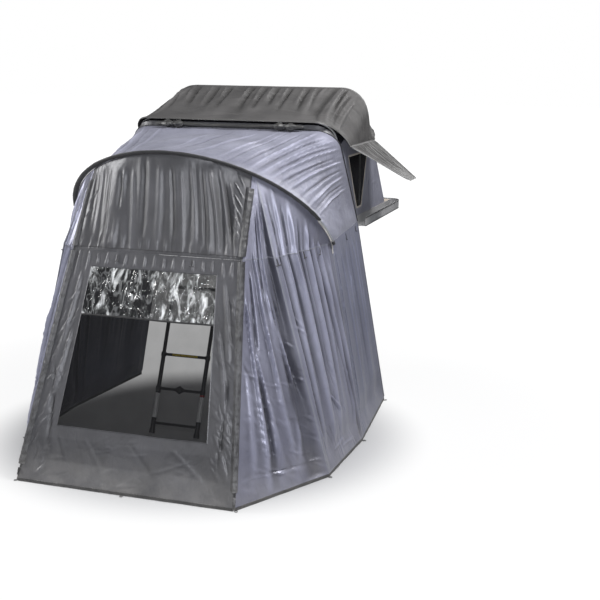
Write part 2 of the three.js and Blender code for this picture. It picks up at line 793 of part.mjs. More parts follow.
const canopyFrontSlope = (ridgeZ - canopyFrontZ) / (ridgeY - canopyRidgeFlat / 2 - canopyFrontY);
const ridgeFrontShare = 0.6;
const ridgeRearShare = 0.66;
const canopyBreaks = [0.14, 0.34];

function canopyTop(w) {
  if (w < ridgeFrontShare) return mixNumber(canopyFrontZ, ridgeZ, w / ridgeFrontShare);
  if (w < ridgeRearShare) return ridgeZ;
  return mixNumber(ridgeZ, canopyRearZ, (w - ridgeRearShare) / (1 - ridgeRearShare));
}

function mixNumber(a, b, share) {
  return a + (b - a) * share;
}

function canopyPlan(w, lift) {
  const front = mixNumber(canopyFrontHemY, canopyFrontY, lift);
  const rear = mixNumber(canopyRearHemY, canopyRearY, lift);
  const ridgeFront = ridgeY - canopyRidgeFlat / 2;
  const ridgeRear = ridgeY + canopyRidgeFlat / 2;
  if (w < ridgeFrontShare) return mixNumber(front, ridgeFront, w / ridgeFrontShare);
  if (w < ridgeRearShare) {
    return mixNumber(ridgeFront, ridgeRear, (w - ridgeFrontShare) / (ridgeRearShare - ridgeFrontShare));
  }
  return mixNumber(ridgeRear, rear, (w - ridgeRearShare) / (1 - ridgeRearShare));
}

function canopyCloth(u, w) {
  const height = canopyTop(w) - canopyHemZ;
  const radius = Math.min(canopyRadius, height * 0.9);
  const bow = bowCurve(canopyHalf, 0, canopyHemZ, 0, canopyTop(w), radius, canopyBreaks).at(u);
  const lift = clamp((bow.z - canopyHemZ) / height, 0, 1);
  const point = vector(bow.x, canopyPlan(w, lift), bow.z);
  const fromRidge = Math.max(0, ridgeFrontShare - w, w - ridgeRearShare);
  const away = smooth(w, 0, foldEdgeShare) * smooth(fromRidge, 0, foldTopShare) * smooth(lift, 0, 0.5);
  const crease = Math.cos(2 * Math.PI * (6 * Math.abs(u - 0.5) + w)) * lift;
  return point.addScaledVector(inTent(point), canopyFold * (1 + crease) * away);
}

const canopyRows = [...steps(6, 0, ridgeFrontShare), ridgeRearShare, ...steps(4, ridgeRearShare, 1).slice(1)];
const canopyColumns = bowCurve(canopyHalf, 0, 0, 0, canopyHalf, canopyRadius, canopyBreaks).columns(3, 5, 10);
addPiece('canopy', sheetBody(canopyCloth, canopyColumns, canopyRows, { inward: inTent }), colours.canopy);

const tentHalf = wallX - cloth - touch;
const hoopHalf = tentHalf - tubeRadius;
const wallFoot = deckTop + touch;
const frontHoopTopZ = canopyFrontZ + (frontHoopTopY - canopyFrontY) * canopyFrontSlope
  - 2 * cloth - canopyFold * 2 - tubeRadius;
const ridgeHoopTopZ = ridgeZ - 1.15 * cloth - touch - tubeRadius;
const frontHoop = bowCurve(
  hoopHalf, frontHoopFootY, wallFoot + hoopFootLift, frontHoopTopY, frontHoopTopZ, frontHoopRadius);
const ridgeHoop = bowCurve(hoopHalf, ridgeY, wallFoot, ridgeY, ridgeHoopTopZ, ridgeRadius);
const tube = [ellipse(tubeRadius, tubeRadius, 10), ellipse(tubeRadius - poleWall, tubeRadius - poleWall, 10)];
for (const [name, hoop] of [['front_hoop', frontHoop], ['ridge_hoop', ridgeHoop]]) {
  addPiece(name, sweepBody(hoop.columns(1, 6, 1).map(hoop.place), ...tube), colours.alloy, 0.35, 0.9);
}

// Flat panels: an outline in the local plane, extruded by its thickness
function plate(outline, thickness, holes = []) {
  const shape = outline instanceof THREE.Shape ? outline
    : new THREE.Shape(outline.map(([x, y]) => new THREE.Vector2(x, y)));
  for (const hole of holes) {
    shape.holes.push(hole instanceof THREE.Path ? hole
      : new THREE.Path(hole.map(([x, y]) => new THREE.Vector2(x, y))));
  }
  return new THREE.ExtrudeGeometry(shape, { depth: thickness, bevelEnabled: false, curveSegments: 6 });
}

const facingX = (x) => new THREE.Matrix4()
  .makeBasis(vector(0, 1, 0), vector(0, 0, 1), vector(1, 0, 0)).setPosition(x, 0, 0);
const frontTopZ = ridgeZ - frontDrop;
const rearTopZ = ridgeZ - rearDrop;
const sideTopZ = ridgeZ - sideFrontDrop;
const sidePeakZ = ridgeZ - sidePeakDrop;
const sideRearZ = ridgeZ - sideRearDrop;
const meshBottomZ = deckTop + netRise;
const meshTopZ = meshBottomZ + netHeight;
const frontSlope = (frontTopY - frontBaseY) / (frontTopZ - wallFoot);
const rearSlope = (rearTopY - rearBaseY) / (rearTopZ - wallFoot);
const frontWallY = (z) => frontBaseY + (z - wallFoot) * frontSlope + 2 * cloth;
const rearWallY = (z) => rearBaseY + (z - wallFoot) * rearSlope - 2 * cloth;
const meshOutline = (grow) => [
  [meshFrontBottomY + grow, meshBottomZ + grow], [meshRearBottomY - grow, meshBottomZ + grow],
  [meshRearTopY - grow, meshTopZ - grow], [meshFrontTopY + grow, meshTopZ - grow],
];

for (const [name, side] of sides) {
  const outline = [
    [frontWallY(wallFoot), wallFoot], [rearWallY(wallFoot), wallFoot],
    [rearWallY(sideRearZ), sideRearZ], [rearWallY(sidePeakZ) - sidePeakSetback, sidePeakZ], [sidePeakFrontY, sidePeakZ],
    [sideTopFrontY, sideTopZ], [frontWallY(sideTopZ - sideShoulder), sideTopZ - sideShoulder],
  ];
  const x = side > 0 ? wallX - cloth : -wallX;
  const wall = plate(outline, cloth, [meshOutline(0)]);
  wall.applyMatrix4(facingX(x));
  addPiece(`tent_side_${name}`, wall, colours.silver);
  const net = plate(meshOutline(touch), meshThickness);
  net.applyMatrix4(facingX(x + (cloth - meshThickness) / 2));
  addPiece(`side_mesh_${name}`, net, colours.mesh);
}

// Sloping end walls of the tent, drawn in their own planes
function endShape(half, height, radius) {
  const shape = new THREE.Shape();
  shape.moveTo(-half, 0);
  shape.lineTo(half, 0);
  shape.lineTo(half, height - radius);
  shape.absarc(half - radius, height - radius, radius, 0, Math.PI / 2);
  shape.lineTo(radius - half, height);
  shape.absarc(radius - half, height - radius, radius, Math.PI / 2, Math.PI);
  shape.closePath();
  return shape;
}

function endMatrix(baseY, topY, topZ) {
  const up = vector(0, topY - baseY, topZ - wallFoot).normalize();
  const out = vector(0, -up.z, up.y);
  return new THREE.Matrix4().makeBasis(vector(1, 0, 0), up, out)
    .setPosition(0, baseY, wallFoot + Math.max(0, -out.z * cloth));
}

const doorwayShape = new THREE.Path();
doorwayShape.moveTo(-doorwayHalf, doorwayBottom);
doorwayShape.lineTo(doorwayHalf, doorwayBottom);
doorwayShape.lineTo(doorwayHalf, doorwayTop - doorwayRadius);
doorwayShape.absarc(doorwayHalf - doorwayRadius, doorwayTop - doorwayRadius, doorwayRadius, 0, Math.PI / 2);
doorwayShape.absarc(doorwayRadius - doorwayHalf, doorwayTop - doorwayRadius, doorwayRadius, Math.PI / 2, Math.PI);
doorwayShape.closePath();
const frontHeight = Math.hypot(frontTopY - frontBaseY, frontTopZ - wallFoot);
const rearHeight = Math.hypot(rearTopY - rearBaseY, rearTopZ - wallFoot);
const frontWall = plate(endShape(tentHalf - touch, frontHeight, wallCornerRadius), cloth, [doorwayShape]);
frontWall.applyMatrix4(endMatrix(frontBaseY, frontTopY, frontTopZ));
addPiece('tent_front_wall', frontWall, colours.grey);
const rearWall = plate(endShape(tentHalf - touch, rearHeight, rearCornerRadius), cloth);
rearWall.applyMatrix4(endMatrix(rearBaseY, rearTopY, rearTopZ));
addPiece('tent_rear_wall', rearWall, colours.silver);

// Side window flaps, each held out by a sprung bow in its edge
const flapRoot = [canopyFrontHemY, canopyRearHemY].map((y) => vector(canopyHalf, y, canopyHemZ - flapRootGap));
const flapEnd = [flapOuterFrontY, flapOuterRearY]
  .map((y) => vector(canopyHalf + flapReach, y, canopyHemZ - flapDrop));
const flapIn = vector(-flapDrop, 0, -flapReach).normalize();

function flapCloth(u, v) {
  const point = mix(mix(flapRoot[0], flapRoot[1], u), mix(flapEnd[0], flapEnd[1], u), v);
  const dip = flapSag * Math.sin(Math.PI * u) * Math.sin(Math.PI * v);
  return point.addScaledVector(flapIn, -dip);
}

const bowOutline = ellipse(bowRadius, bowRadius, 6);
const flapLength = flapRoot[0].distanceTo(flapEnd[0]);
const bowShare = bowInset / flapLength;
const bowPath = new THREE.CatmullRomCurve3([
  [bowShare, bowShare], [bowShare, 0.5], [bowShare, 1 - 3 * bowShare], [4 * bowShare, 1 - bowShare],
  [0.5, 1 - bowShare], [1 - 4 * bowShare, 1 - bowShare], [1 - bowShare, 1 - 3 * bowShare],
  [1 - bowShare, 0.5], [1 - bowShare, bowShare],
].map(([u, v]) => flapCloth(u, v).addScaledVector(flapIn, cloth + touch + bowRadius)), false, 'centripetal');
const bowFrames = steps(24).map((share) => {
  const tangent = bowPath.getTangentAt(share);
  return { at: bowPath.getPointAt(share), a: flapIn, b: tangent.clone().cross(flapIn).normalize() };
});

for (const [name, side] of sides) {
  const inward = () => (side > 0 ? flapIn : flip(flapIn));
  addPiece(`window_flap_${name}`, sheetBody(forSide(side, flapCloth), steps(8), steps(6), {
    inward, edges: [0, 0, 0, 0],
  }), colours.canopy);
  const frames = side > 0 ? bowFrames
    : bowFrames.map(({ at, a, b }) => ({ at: flip(at), a: flip(a), b: flip(b) }));
  addPiece(`flap_bow_${name}`, sweepBody(frames, bowOutline), colours.alloy, 0.35, 0.9);
}

// Rolled flap and its ties under the canopy's front edge
const roofAtRoll = mix(archSeam(Math.PI / 2), joinCurve.at(0.5), 0.96).z;
const rollZ = roofAtRoll + rollRadius + rollSwell + tieThickness + rollFloor;
const rollFrames = steps(22, -1, 1).map((share) => {
  const swell = Math.exp(-(((Math.abs(share * rollHalf) - tieX) / (tieX / 6)) ** 2));
  const end = Math.sqrt(Math.max(0.05, 1 - Math.abs(share) ** 16));
  const scale = ((rollRadius + rollSwell * swell) / rollRadius) * end;
  return { at: vector(share * rollHalf, rollY, rollZ), a: vector(0, 1, 0), b: vector(0, 0, 1), scale };
});
addPiece('rolled_flap', sweepBody(rollFrames, ellipse(rollRadius, rollRadius, 12)), colours.canopy);
for (const [name, side] of sides) {
  const inner = rollRadius + rollSwell + touch;
  const ring = new THREE.Shape().absarc(0, 0, inner + tieThickness, 0, 2 * Math.PI);
  ring.holes.push(new THREE.Path().absarc(0, 0, inner, 0, 2 * Math.PI));
  const hoop = new THREE.ExtrudeGeometry(ring, { depth: tieWidth, bevelEnabled: false, curveSegments: 10 });
  const at = facingX(side * tieX - tieWidth / 2).setPosition(side * tieX - tieWidth / 2, rollY, rollZ);
  const tailY = rollY + inner + tieThickness / 2;
  const tailTop = canopyFrontZ + (tailY - canopyFrontY) * canopyFrontSlope - cloth - touch;
  const tail = new THREE.BoxGeometry(tieWidth, tieThickness, tailTop - rollZ);
  const body = solid(hoop, at).add(solid(tail, moved(side * tieX, tailY, (tailTop + rollZ) / 2)));
  addPiece(`roll_tie_${name}`, asGeometry(body), colours.black);
}

// Deck halves, their hinge, the roof rails and the cover gutter
function roundedRectangle(x0, x1, y0, y1, radius) {
  const shape = new THREE.Shape();
  shape.moveTo(x0 + radius, y0);
  shape.absarc(x1 - radius, y0 + radius, radius, -Math.PI / 2, 0);
  shape.absarc(x1 - radius, y1 - radius, radius, 0, Math.PI / 2);
  shape.absarc(x0 + radius, y1 - radius, radius, Math.PI / 2, Math.PI);
  shape.absarc(x0 + radius, y0 + radius, radius, Math.PI, 1.5 * Math.PI);
  return shape;
}

function deck(name, y0, y1) {
  const board = plate(roundedRectangle(-deckHalf, deckHalf, y0, y1, deckCorner), deckThickness);
  board.translate(0, 0, deckTop - deckThickness);
  addPiece(name, board, colours.wood);
}

deck('deck_front', deckFrontY, deckHingeY - deckJoint / 2);
deck('deck_rear', deckHingeY + deckJoint / 2, deckRearY);

const underDeck = deckTop - deckThickness - touch;
const hingeShape = [
  [deckHingeY - hingeLeaf, underDeck - hingePlate], [deckHingeY - hingeRadius, underDeck - hingePlate],
  [deckHingeY - hingeRadius, underDeck - 2 * hingeRadius], [deckHingeY + hingeRadius, underDeck - 2 * hingeRadius],
  [deckHingeY + hingeRadius, underDeck - hingePlate], [deckHingeY + hingeLeaf, underDeck - hingePlate],
  [deckHingeY + hingeLeaf, underDeck], [deckHingeY - hingeLeaf, underDeck],
];
const hinge = plate(hingeShape, railLength);
hinge.applyMatrix4(facingX(-railLength / 2));
addPiece('deck_hinge', hinge, colours.alloy, 0.4, 0.9);

for (const [name, y] of [['front', railFrontY], ['rear', railRearY]]) {
  const [half, slot] = [railWidth / 2, railSlot / 2];
  const low = underDeck - railHeight;
  const channel = [
    [y - half, low], [y - slot, low], [y - slot, low + railWall], [y - half + railWall, low + railWall],
    [y - half + railWall, underDeck - railWall], [y + half - railWall, underDeck - railWall],
    [y + half - railWall, low + railWall], [y + slot, low + railWall], [y + slot, low],
    [y + half, low], [y + half, underDeck], [y - half, underDeck],
  ];
  const rail = plate(channel, railLength);
  rail.applyMatrix4(facingX(-railLength / 2));
  addPiece(`roof_rail_${name}`, rail, colours.alloy, 0.4, 0.9);
}

const gutterLow = deckTop - touch - gutterDepth;
const gutterTop = deckTop - touch;
const gutterIn = 2 * touch;
const gutterOutline = [
  [gutterIn, gutterLow], [gutterWidth, gutterLow], [gutterWidth, gutterTop],
  [gutterWidth - gutterSkin, gutterTop], [gutterWidth - gutterSkin, gutterLow + gutterSkin],
  [gutterIn + gutterSkin, gutterLow + gutterSkin], [gutterIn + gutterSkin, gutterTop], [gutterIn, gutterTop],
];
const gutterCorner = steps(6, 0, Math.PI / 2).map((turn) => ({
  at: vector(deckHalf - deckCorner + deckCorner * Math.cos(turn), deckRearY - deckCorner + deckCorner * Math.sin(turn), 0),
  a: vector(Math.cos(turn), Math.sin(turn), 0), b: vector(0, 0, 1),
}));
const gutterFrames = [{ at: vector(deckHalf, gutterFrontY, 0), a: vector(1, 0, 0), b: vector(0, 0, 1) }, ...gutterCorner];
const gutterMirror = gutterFrames.map(({ at, a, b }) => ({ at: flip(at), a: flip(a), b })).reverse();
addPiece('cover_gutter', sweepBody([...gutterFrames, ...gutterMirror], gutterOutline), colours.gutter);

// Ladder, drawn along its own axis with the hinge at the origin
const ladder = new THREE.Group();
const hingeY = deckFrontY - ladderHingeOut;
ladder.position.set(ladderX, hingeY, ladderHingeZ);
ladder.rotation.x = -ladderTilt;
group.add(ladder);

const ladderLength = (ladderHingeZ - footRadius * Math.sin(ladderTilt) - touch) / Math.cos(ladderTilt);
const spacing = (ladderLength - footBarUp - firstRung - collarHeight / 2) / sections;
const outerRadius = (index) => topTubeRadius + index * tubeStep;
const boreRadius = (index) => outerRadius(index - 1) + tubeGap;

function rod(radius, from, to, x = 0, count = 16) {
  const geometry = new THREE.CylinderGeometry(radius, radius, to - from, count);
  geometry.rotateX(Math.PI / 2);
  return solid(geometry, moved(x, 0, (from + to) / 2));
}

function block(width, depth, height, x, y, z) {
  return solid(new THREE.BoxGeometry(width, depth, height), moved(x, y, z));
}

function crossRod(radius, half, y, z) {
  const geometry = new THREE.CylinderGeometry(radius, radius, 2 * half, 12);
  geometry.rotateZ(Math.PI / 2);
  return solid(geometry, moved(0, y, z));
}

for (let index = 0; index < sections; index++) {
  const top = -(firstRung + index * spacing);
  const last = index === sections - 1;
  const bottom = last ? -(ladderLength - footHeight) : top - spacing - sectionOverlap;
  const radius = outerRadius(index);
  const rungZ = top - collarHeight / 2;
  const parts = [block(2 * ladderHalf, rungWidth, rungHeight, 0, 0, rungZ)];
  for (const x of [-ladderHalf, ladderHalf]) {
    parts.push(rod(radius, bottom, index ? top : topTubeRadius, x));
    parts.push(rod(radius + collarProud, top - collarHeight, top, x));
    if (last) parts.push(rod(footRadius, -ladderLength, bottom + footHeight / 2, x));
  }
  if (last) parts.push(block(2 * ladderHalf, rungWidth, rungHeight, 0, 0, -ladderLength + footBarUp));
  const seatY = -rungWidth / 2 - bossDepth;
  if (index === buttonRung) {
    const boss = new THREE.CylinderGeometry(1, 1, bossDepth + bossInto, 4);
    boss.scale(bossHalfWidth, 1, bossHalfHeight);
    parts.push(solid(boss, moved(0, seatY + (bossDepth + bossInto) / 2, rungZ)));
  }
  let body = join(parts);
  if (index) {
    for (const x of [-ladderHalf, ladderHalf]) {
      const boreFoot = last ? footSole - ladderLength : bottom - overrun;
      body = body.subtract(rod(boreRadius(index), boreFoot, top + overrun, x));
    }
  } else {
    body = body.subtract(crossRod(pinRadius + pinGap, ladderHalf + footRadius, 0, 0));
  }
  if (index === buttonRung) {
    body = body.subtract(solid(new THREE.CylinderGeometry(buttonRadius + touch, buttonRadius + touch,
      buttonSeat + overrun, 16), moved(0, seatY - overrun / 2 + buttonSeat / 2, rungZ)));
    const button = new THREE.CylinderGeometry(buttonRadius, buttonRadius, buttonDepth, 16);
    button.translate(0, seatY + (buttonSeat - buttonDepth) / 2 - touch, rungZ);
    addPiece('ladder_button', button, colours.orange, 0.5, 0, ladder);
  }
  addPiece(`ladder_section_${index + 1}`, asGeometry(body), colours.ladder, 0.45, 0.3, ladder);
}

// Bracket on the deck's front edge: a plate, two pairs of ears and a pin through each pair
const earInner = topTubeRadius + earGap;
const bracketY = deckFrontY - touch - bracketPlate / 2;
const bracketZ = deckTop - deckThickness / 2;
const bracketParts = [block(2 * (ladderHalf + earInner + 3 * earThickness), bracketPlate, deckThickness,
  ladderX, bracketY, bracketZ)];
for (const x of [-ladderHalf, ladderHalf]) {
  for (const side of [-1, 1]) {
    const earX = ladderX + x + side * (earInner + earThickness / 2);
    const reach = ladderHingeOut + pinRadius + 2 * earThickness;
    bracketParts.push(block(earThickness, reach - touch, deckThickness, earX, deckFrontY - touch - (reach - touch) / 2, ladderHingeZ + touch));
  }
  const pin = crossRod(pinRadius, earInner + earThickness, hingeY, ladderHingeZ);
  bracketParts.push(pin.translate([ladderX + x, 0, 0]));
}
addPiece('ladder_bracket', asGeometry(join(bracketParts)), colours.alloy, 0.4, 0.9);

// The origin is the middle of the whole part's foot print, on the ground
group.updateMatrixWorld(true);
const bounds = new THREE.Box3().setFromObject(group, true);
const middle = bounds.getCenter(vector(0, 0, 0));
group.position.set(-middle.x, -middle.y, -bounds.min.z);
group.updateMatrixWorld(true);

export default group;
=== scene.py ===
# A fold-out roof tent with an awning room hung from its front hoop, dressed around the packed
# frame. Shapes are worked out in the tent's own frame in millimetres and turned to metres last.
import math

import bpy
import numpy as np
from mathutils import Matrix, Vector
from mathutils.geometry import delaunay_2d_cdt


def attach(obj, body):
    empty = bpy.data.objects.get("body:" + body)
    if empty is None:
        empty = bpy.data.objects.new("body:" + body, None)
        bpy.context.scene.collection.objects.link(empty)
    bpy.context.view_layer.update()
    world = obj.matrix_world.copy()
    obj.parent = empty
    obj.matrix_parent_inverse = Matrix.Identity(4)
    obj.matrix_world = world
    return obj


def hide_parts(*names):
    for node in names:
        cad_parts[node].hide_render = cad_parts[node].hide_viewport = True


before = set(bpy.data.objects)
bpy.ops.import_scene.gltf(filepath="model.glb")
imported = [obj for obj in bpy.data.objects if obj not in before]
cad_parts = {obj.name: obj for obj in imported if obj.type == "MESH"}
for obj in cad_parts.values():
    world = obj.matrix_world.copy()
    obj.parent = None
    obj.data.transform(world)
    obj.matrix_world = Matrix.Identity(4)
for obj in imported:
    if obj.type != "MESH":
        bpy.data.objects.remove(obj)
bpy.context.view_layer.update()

bpy.ops.object.select_all(action="DESELECT")

# View and studio
# The camera stands where the photographer stood. The stage is one pale floor under white
# surroundings, lit by soft area lamps: one from the front right, one from the left, one overhead,
# one behind and a small low one in front.
eye = Vector((3.61956, -9.09751, 3.21745))
yaw, pitch, roll = -0.315540445, 0.220858619, -0.00879476883
ahead = Vector((math.sin(yaw) * math.cos(pitch), math.cos(yaw) * math.cos(pitch), -math.sin(pitch)))
level = Vector((math.cos(yaw), -math.sin(yaw), 0))
below = ahead.cross(level)
across = math.cos(roll) * level + math.sin(roll) * below
upward = math.sin(roll) * level - math.cos(roll) * below
camera_data = bpy.data.cameras.new("view")
camera_data.lens, camera_data.sensor_width = 66.633, 36
camera_data.clip_end = 200
camera = bpy.data.objects.new("view", camera_data)
bpy.context.scene.collection.objects.link(camera)
turn = Matrix((across, upward, -ahead)).transposed().to_4x4()
camera.matrix_world = Matrix.Translation(eye) @ turn
bpy.context.scene.camera = camera
bpy.context.scene.view_settings.view_transform = "Standard"


def softbox(name, place, aim, width, height, power, tint=(1, 1, 1)):
    lamp = bpy.data.lights.new(name, "AREA")
    lamp.shape, lamp.size, lamp.size_y = "RECTANGLE", width, height
    lamp.energy, lamp.color = power, tint
    stand = bpy.data.objects.new(name, lamp)
    stand.location = place
    stand.rotation_euler = (Vector(aim) - Vector(place)).to_track_quat("-Z", "Y").to_euler()
    bpy.context.scene.collection.objects.link(stand)


softbox("right_lamp", (3.0, -8.0, 4.0), (0, -0.6, 1.2), 1.0, 1.4, 420, (0.94, 0.96, 1))
softbox("left_lamp", (-6.6, -2.8, 4.6), (0, -0.6, 1.4), 1.4, 2.2, 520)
softbox("top_lamp", (3.6, -1.0, 6.6), (0, -0.8, 1.6), 2.0, 2.0, 620)
softbox("rear_lamp", (1.5, 7.0, 4.5), (0, 0.5, 1.5), 4.0, 3.0, 170)
softbox("low_lamp", (-2.2, -7.4, 1.7), (-0.2, -1.0, 0.7), 0.7, 0.7, 24)


class Nodes:
    """Short calls that add nodes to one tree and join them. A key such as i1 is a socket's number."""

    def __init__(self, tree):
        self.tree = tree

    def join(self, value, socket):
        if isinstance(value, bpy.types.NodeSocket):
            self.tree.links.new(value, socket)
        else:
            socket.default_value = value

    def fill(self, sockets, values):
        for key, value in values.items():
            numbered = key[0] == "i" and key[1:].isdigit()
            self.join(value, sockets[int(key[1:]) if numbered else key.replace("_", " ")])

    def node(self, kind, _settings=None, **inputs):
        made = self.tree.nodes.new("ShaderNode" + kind)
        for key, value in (_settings or {}).items():
            setattr(made, key, value)
        self.fill(made.inputs, inputs)
        return made

    def effect(self, group, **inputs):
        made = self.tree.nodes.new("ShaderNodeGroup")
        made.node_tree = group.tree
        self.fill(made.inputs, inputs)
        return made.outputs

    def math(self, operation, *values, clamp=False):
        made = self.node("Math", {"operation": operation, "use_clamp": clamp})
        for n, value in enumerate(values):
            self.join(value, made.inputs[n])
        return made.outputs[0]

    def scaled(self, place, scale):
        return self.node("VectorMath", {"operation": "MULTIPLY"}, i0=place, i1=scale).outputs[0]

    def ramp(self, value, low, high, start=0.0, end=1.0, soft=False):
        """The value from start to end, carried over to low to high."""
        kind = {"interpolation_type": "SMOOTHSTEP" if soft else "LINEAR"}
        return self.node("MapRange", kind, Value=value, From_Min=start, From_Max=end, To_Min=low,
                         To_Max=high).outputs[0]

    def blend(self, share, first, second, way="MIX"):
        kind = {"data_type": "RGBA", "blend_type": way}
        return self.node("Mix", kind, Factor=share, i6=first, i7=second).outputs[2]

    def shades(self, value, *stops):
        """Colours along a value, as (place, colour) stops from low to high."""
        made = self.node("ValToRGB", Fac=value)
        held = made.color_ramp.elements
        for place, colour in stops[1:-1]:
            held.new(place).color = (*colour, 1)
        for end in (0, -1):
            held[end].position, held[end].color = stops[end][0], (*stops[end][1], 1)
        return made.outputs["Color"]


class Finish(Nodes):
    """A material with its Principled shader and the place that its patterns read."""

    def __init__(self, name, **plain):
        self.material = bpy.data.materials.new(name)
        self.material.use_nodes = True
        super().__init__(self.material.node_tree)
        self.shader = self.tree.nodes["Principled BSDF"]
        self.place = self.node("TexCoord").outputs["Object"]
        self.set(**plain)

    def set(self, **sockets):
        self.fill(self.shader.inputs, sockets)
        return self

    def flat(self):
        return self.node("UVMap", {"uv_map": "Cloth"}).outputs["UV"]

    def grain(self, scale, detail, **more):
        return self.node("TexNoise", Vector=self.place, Scale=scale, Detail=detail, **more).outputs["Fac"]

    def relief(self, height, strength=0.5, distance=0.002, **under):
        bump = self.node("Bump", Strength=strength, Distance=distance, Height=height, **under)
        self.join(bump.outputs["Normal"], self.shader.inputs["Normal"])
        return bump.outputs["Normal"]


world = bpy.data.worlds.new("surroundings")
world.use_nodes = True
world.node_tree.nodes.clear()
bpy.context.scene.world = world
sky = Nodes(world.node_tree)
sky_rays = sky.node("LightPath").outputs
sky_seen = sky.math("ADD", sky_rays["Is Camera Ray"], sky_rays["Is Transmission Ray"], clamp=True)
sky_plain = sky.node("Background", Color=(0.86, 0.9, 1, 1), Strength=0.17)
sky_white = sky.node("Background", Color=(1, 1, 1, 1))
sky_mix = sky.node("MixShader", Fac=sky_seen, i1=sky_plain.outputs[0], i2=sky_white.outputs[0])
sky.node("OutputWorld", Surface=sky_mix.outputs[0])

bpy.ops.mesh.primitive_plane_add(size=120, location=(0, 0, -0.002))
floor = bpy.context.object
floor.name = "studio_floor"
bpy.ops.object.select_all(action="DESELECT")
floor_paint = Finish("floor_paint", Roughness=0.9, Base_Color=(0.3, 0.3, 0.305, 1))
floor_paint.relief(floor_paint.grain(60.0, 4.0), 0.1, 0.001)
floor_from = floor_paint.node("VectorMath", {"operation": "ADD"}, i0=floor_paint.place, i1=(0, 0.7, 0))
floor_far = floor_paint.node("VectorMath", {"operation": "LENGTH"},
                             i0=floor_from.outputs[0]).outputs["Value"]
floor_near = floor_paint.ramp(floor_far, 0.03, 0.79, 1.3, 2.0, soft=True)
floor_wide = floor_paint.ramp(floor_far, 0.0, 0.21, 2.4, 6.5, soft=True)
floor_rays = floor_paint.node("LightPath").outputs
floor_seen = floor_paint.math("MAXIMUM", floor_rays["Is Camera Ray"], floor_rays["Is Transmission Ray"])
floor_share = floor_paint.math("MULTIPLY", floor_seen, floor_paint.math("ADD", floor_near, floor_wide))
floor_glow = floor_paint.node("Emission", Color=(1, 1, 1, 1), Strength=1.12)
floor_mix = floor_paint.node("MixShader", Fac=floor_share, i1=floor_paint.shader.outputs[0],
                             i2=floor_glow.outputs[0])
floor_paint.join(floor_mix.outputs[0], floor_paint.tree.nodes["Material Output"].inputs["Surface"])
floor.data.materials.append(floor_paint.material)

# Roof of the room
# One silver coated panel from the arch pole's sleeve up to the tent's front band. It sags a
# little and slanting creases run from the hoop's shoulders towards the middle of the arch.


def effect(name, inputs, outputs):
    """Nodes of a shared effect, with its inputs and its outputs. Rows are name, kind and value."""
    tree = bpy.data.node_groups.new(name, "ShaderNodeTree")
    for label, kind, value in inputs:
        made = tree.interface.new_socket(name=label, in_out="INPUT", socket_type="NodeSocket" + kind)
        if value is not None:
            made.default_value = value
    for label, kind in outputs:
        tree.interface.new_socket(name=label, in_out="OUTPUT", socket_type="NodeSocket" + kind)
    return Nodes(tree), tree.nodes.new("NodeGroupInput").outputs, tree.nodes.new("NodeGroupOutput").inputs


# Woven threads of a coated cloth: two crossed sets of fine ribs, with a heavier thread every
# few millimetres each way. Place is the cloth's own flat pattern in metres.
weave, weave_in, weave_out = effect(
    "weave",
    [("Place", "Vector", None), ("Threads", "Float", 500.0), ("Rip", "Float", 160.0)],
    [("Height", "Float"), ("Rips", "Float")],
)
parts = weave.node("SeparateXYZ", Vector=weave_in["Place"]).outputs
fine, coarse = [], []
for axis in "XY":
    fine.append(weave.math("SINE", weave.math("MULTIPLY", parts[axis], weave_in["Threads"])))
    steps = weave.math("PINGPONG", weave.math("MULTIPLY", parts[axis], weave_in["Rip"]), 0.5)
    coarse.append(weave.math("LESS_THAN", steps, 0.06))
rips = weave.math("MAXIMUM", *coarse)
weave.join(weave.math("ADD", weave.math("MULTIPLY", *fine), rips), weave_out["Height"])
weave.join(rips, weave_out["Rips"])

# Crumples of cloth that was packed away: soft swellings with sharp creases where they meet, at
# two sizes. Size is the width of a swelling in metres, and Stretch draws it out downwards.
crumple, crumple_in, crumple_out = effect(
    "crumple",
    [("Place", "Vector", None), ("Size", "Float", 0.05), ("Stretch", "Float", 0.45)],
    [("Height", "Float"), ("Crease", "Float"), ("Tone", "Float")],
)
stretch = crumple.node("CombineXYZ", X=1.0, Y=1.0, Z=crumple_in["Stretch"])
along = crumple.scaled(crumple_in["Place"], stretch.outputs[0])
swell = crumple.node("TexNoise", Vector=along, Scale=crumple.math("DIVIDE", 0.5, crumple_in["Size"]),
                     Detail=2.0, Roughness=0.55, Distortion=0.7)
ridge = crumple.math("ABSOLUTE", crumple.math("SUBTRACT", swell.outputs["Fac"], 0.5))
finer = crumple.node("TexNoise", Vector=along, Scale=55.0, Detail=4.0, Roughness=0.6, Distortion=0.4)
slow = crumple.node("TexNoise", Vector=crumple_in["Place"], Scale=2.2, Detail=3.0)
crumple.join(crumple.math("MULTIPLY_ADD", finer.outputs["Fac"], 0.16, ridge), crumple_out["Height"])
crumple.join(crumple.ramp(ridge, 0.0, 1.0, 0.0, 0.035, soft=True), crumple_out["Crease"])
crumple.join(slow.outputs["Fac"], crumple_out["Tone"])

# Dust and ground marks: a paler film low down and in patches.
dust, dust_in, dust_out = effect(
    "dust",
    [("Place", "Vector", None), ("Color", "Color", (0.5, 0.5, 0.5, 1)), ("Amount", "Float", 0.15)],
    [("Color", "Color")],
)
height = dust.node("SeparateXYZ", Vector=dust_in["Place"]).outputs["Z"]
low_down = dust.ramp(height, 1.0, 0.15, 0.0, 0.35, soft=True)
patches = dust.node("TexNoise", Vector=dust_in["Place"], Scale=9.0, Detail=6.0).outputs["Fac"]
cover = dust.math("MULTIPLY", dust.math("MULTIPLY", low_down, patches), dust_in["Amount"])
dust.join(dust.blend(cover, dust_in["Color"], (0.42, 0.4, 0.37, 1)), dust_out["Color"])


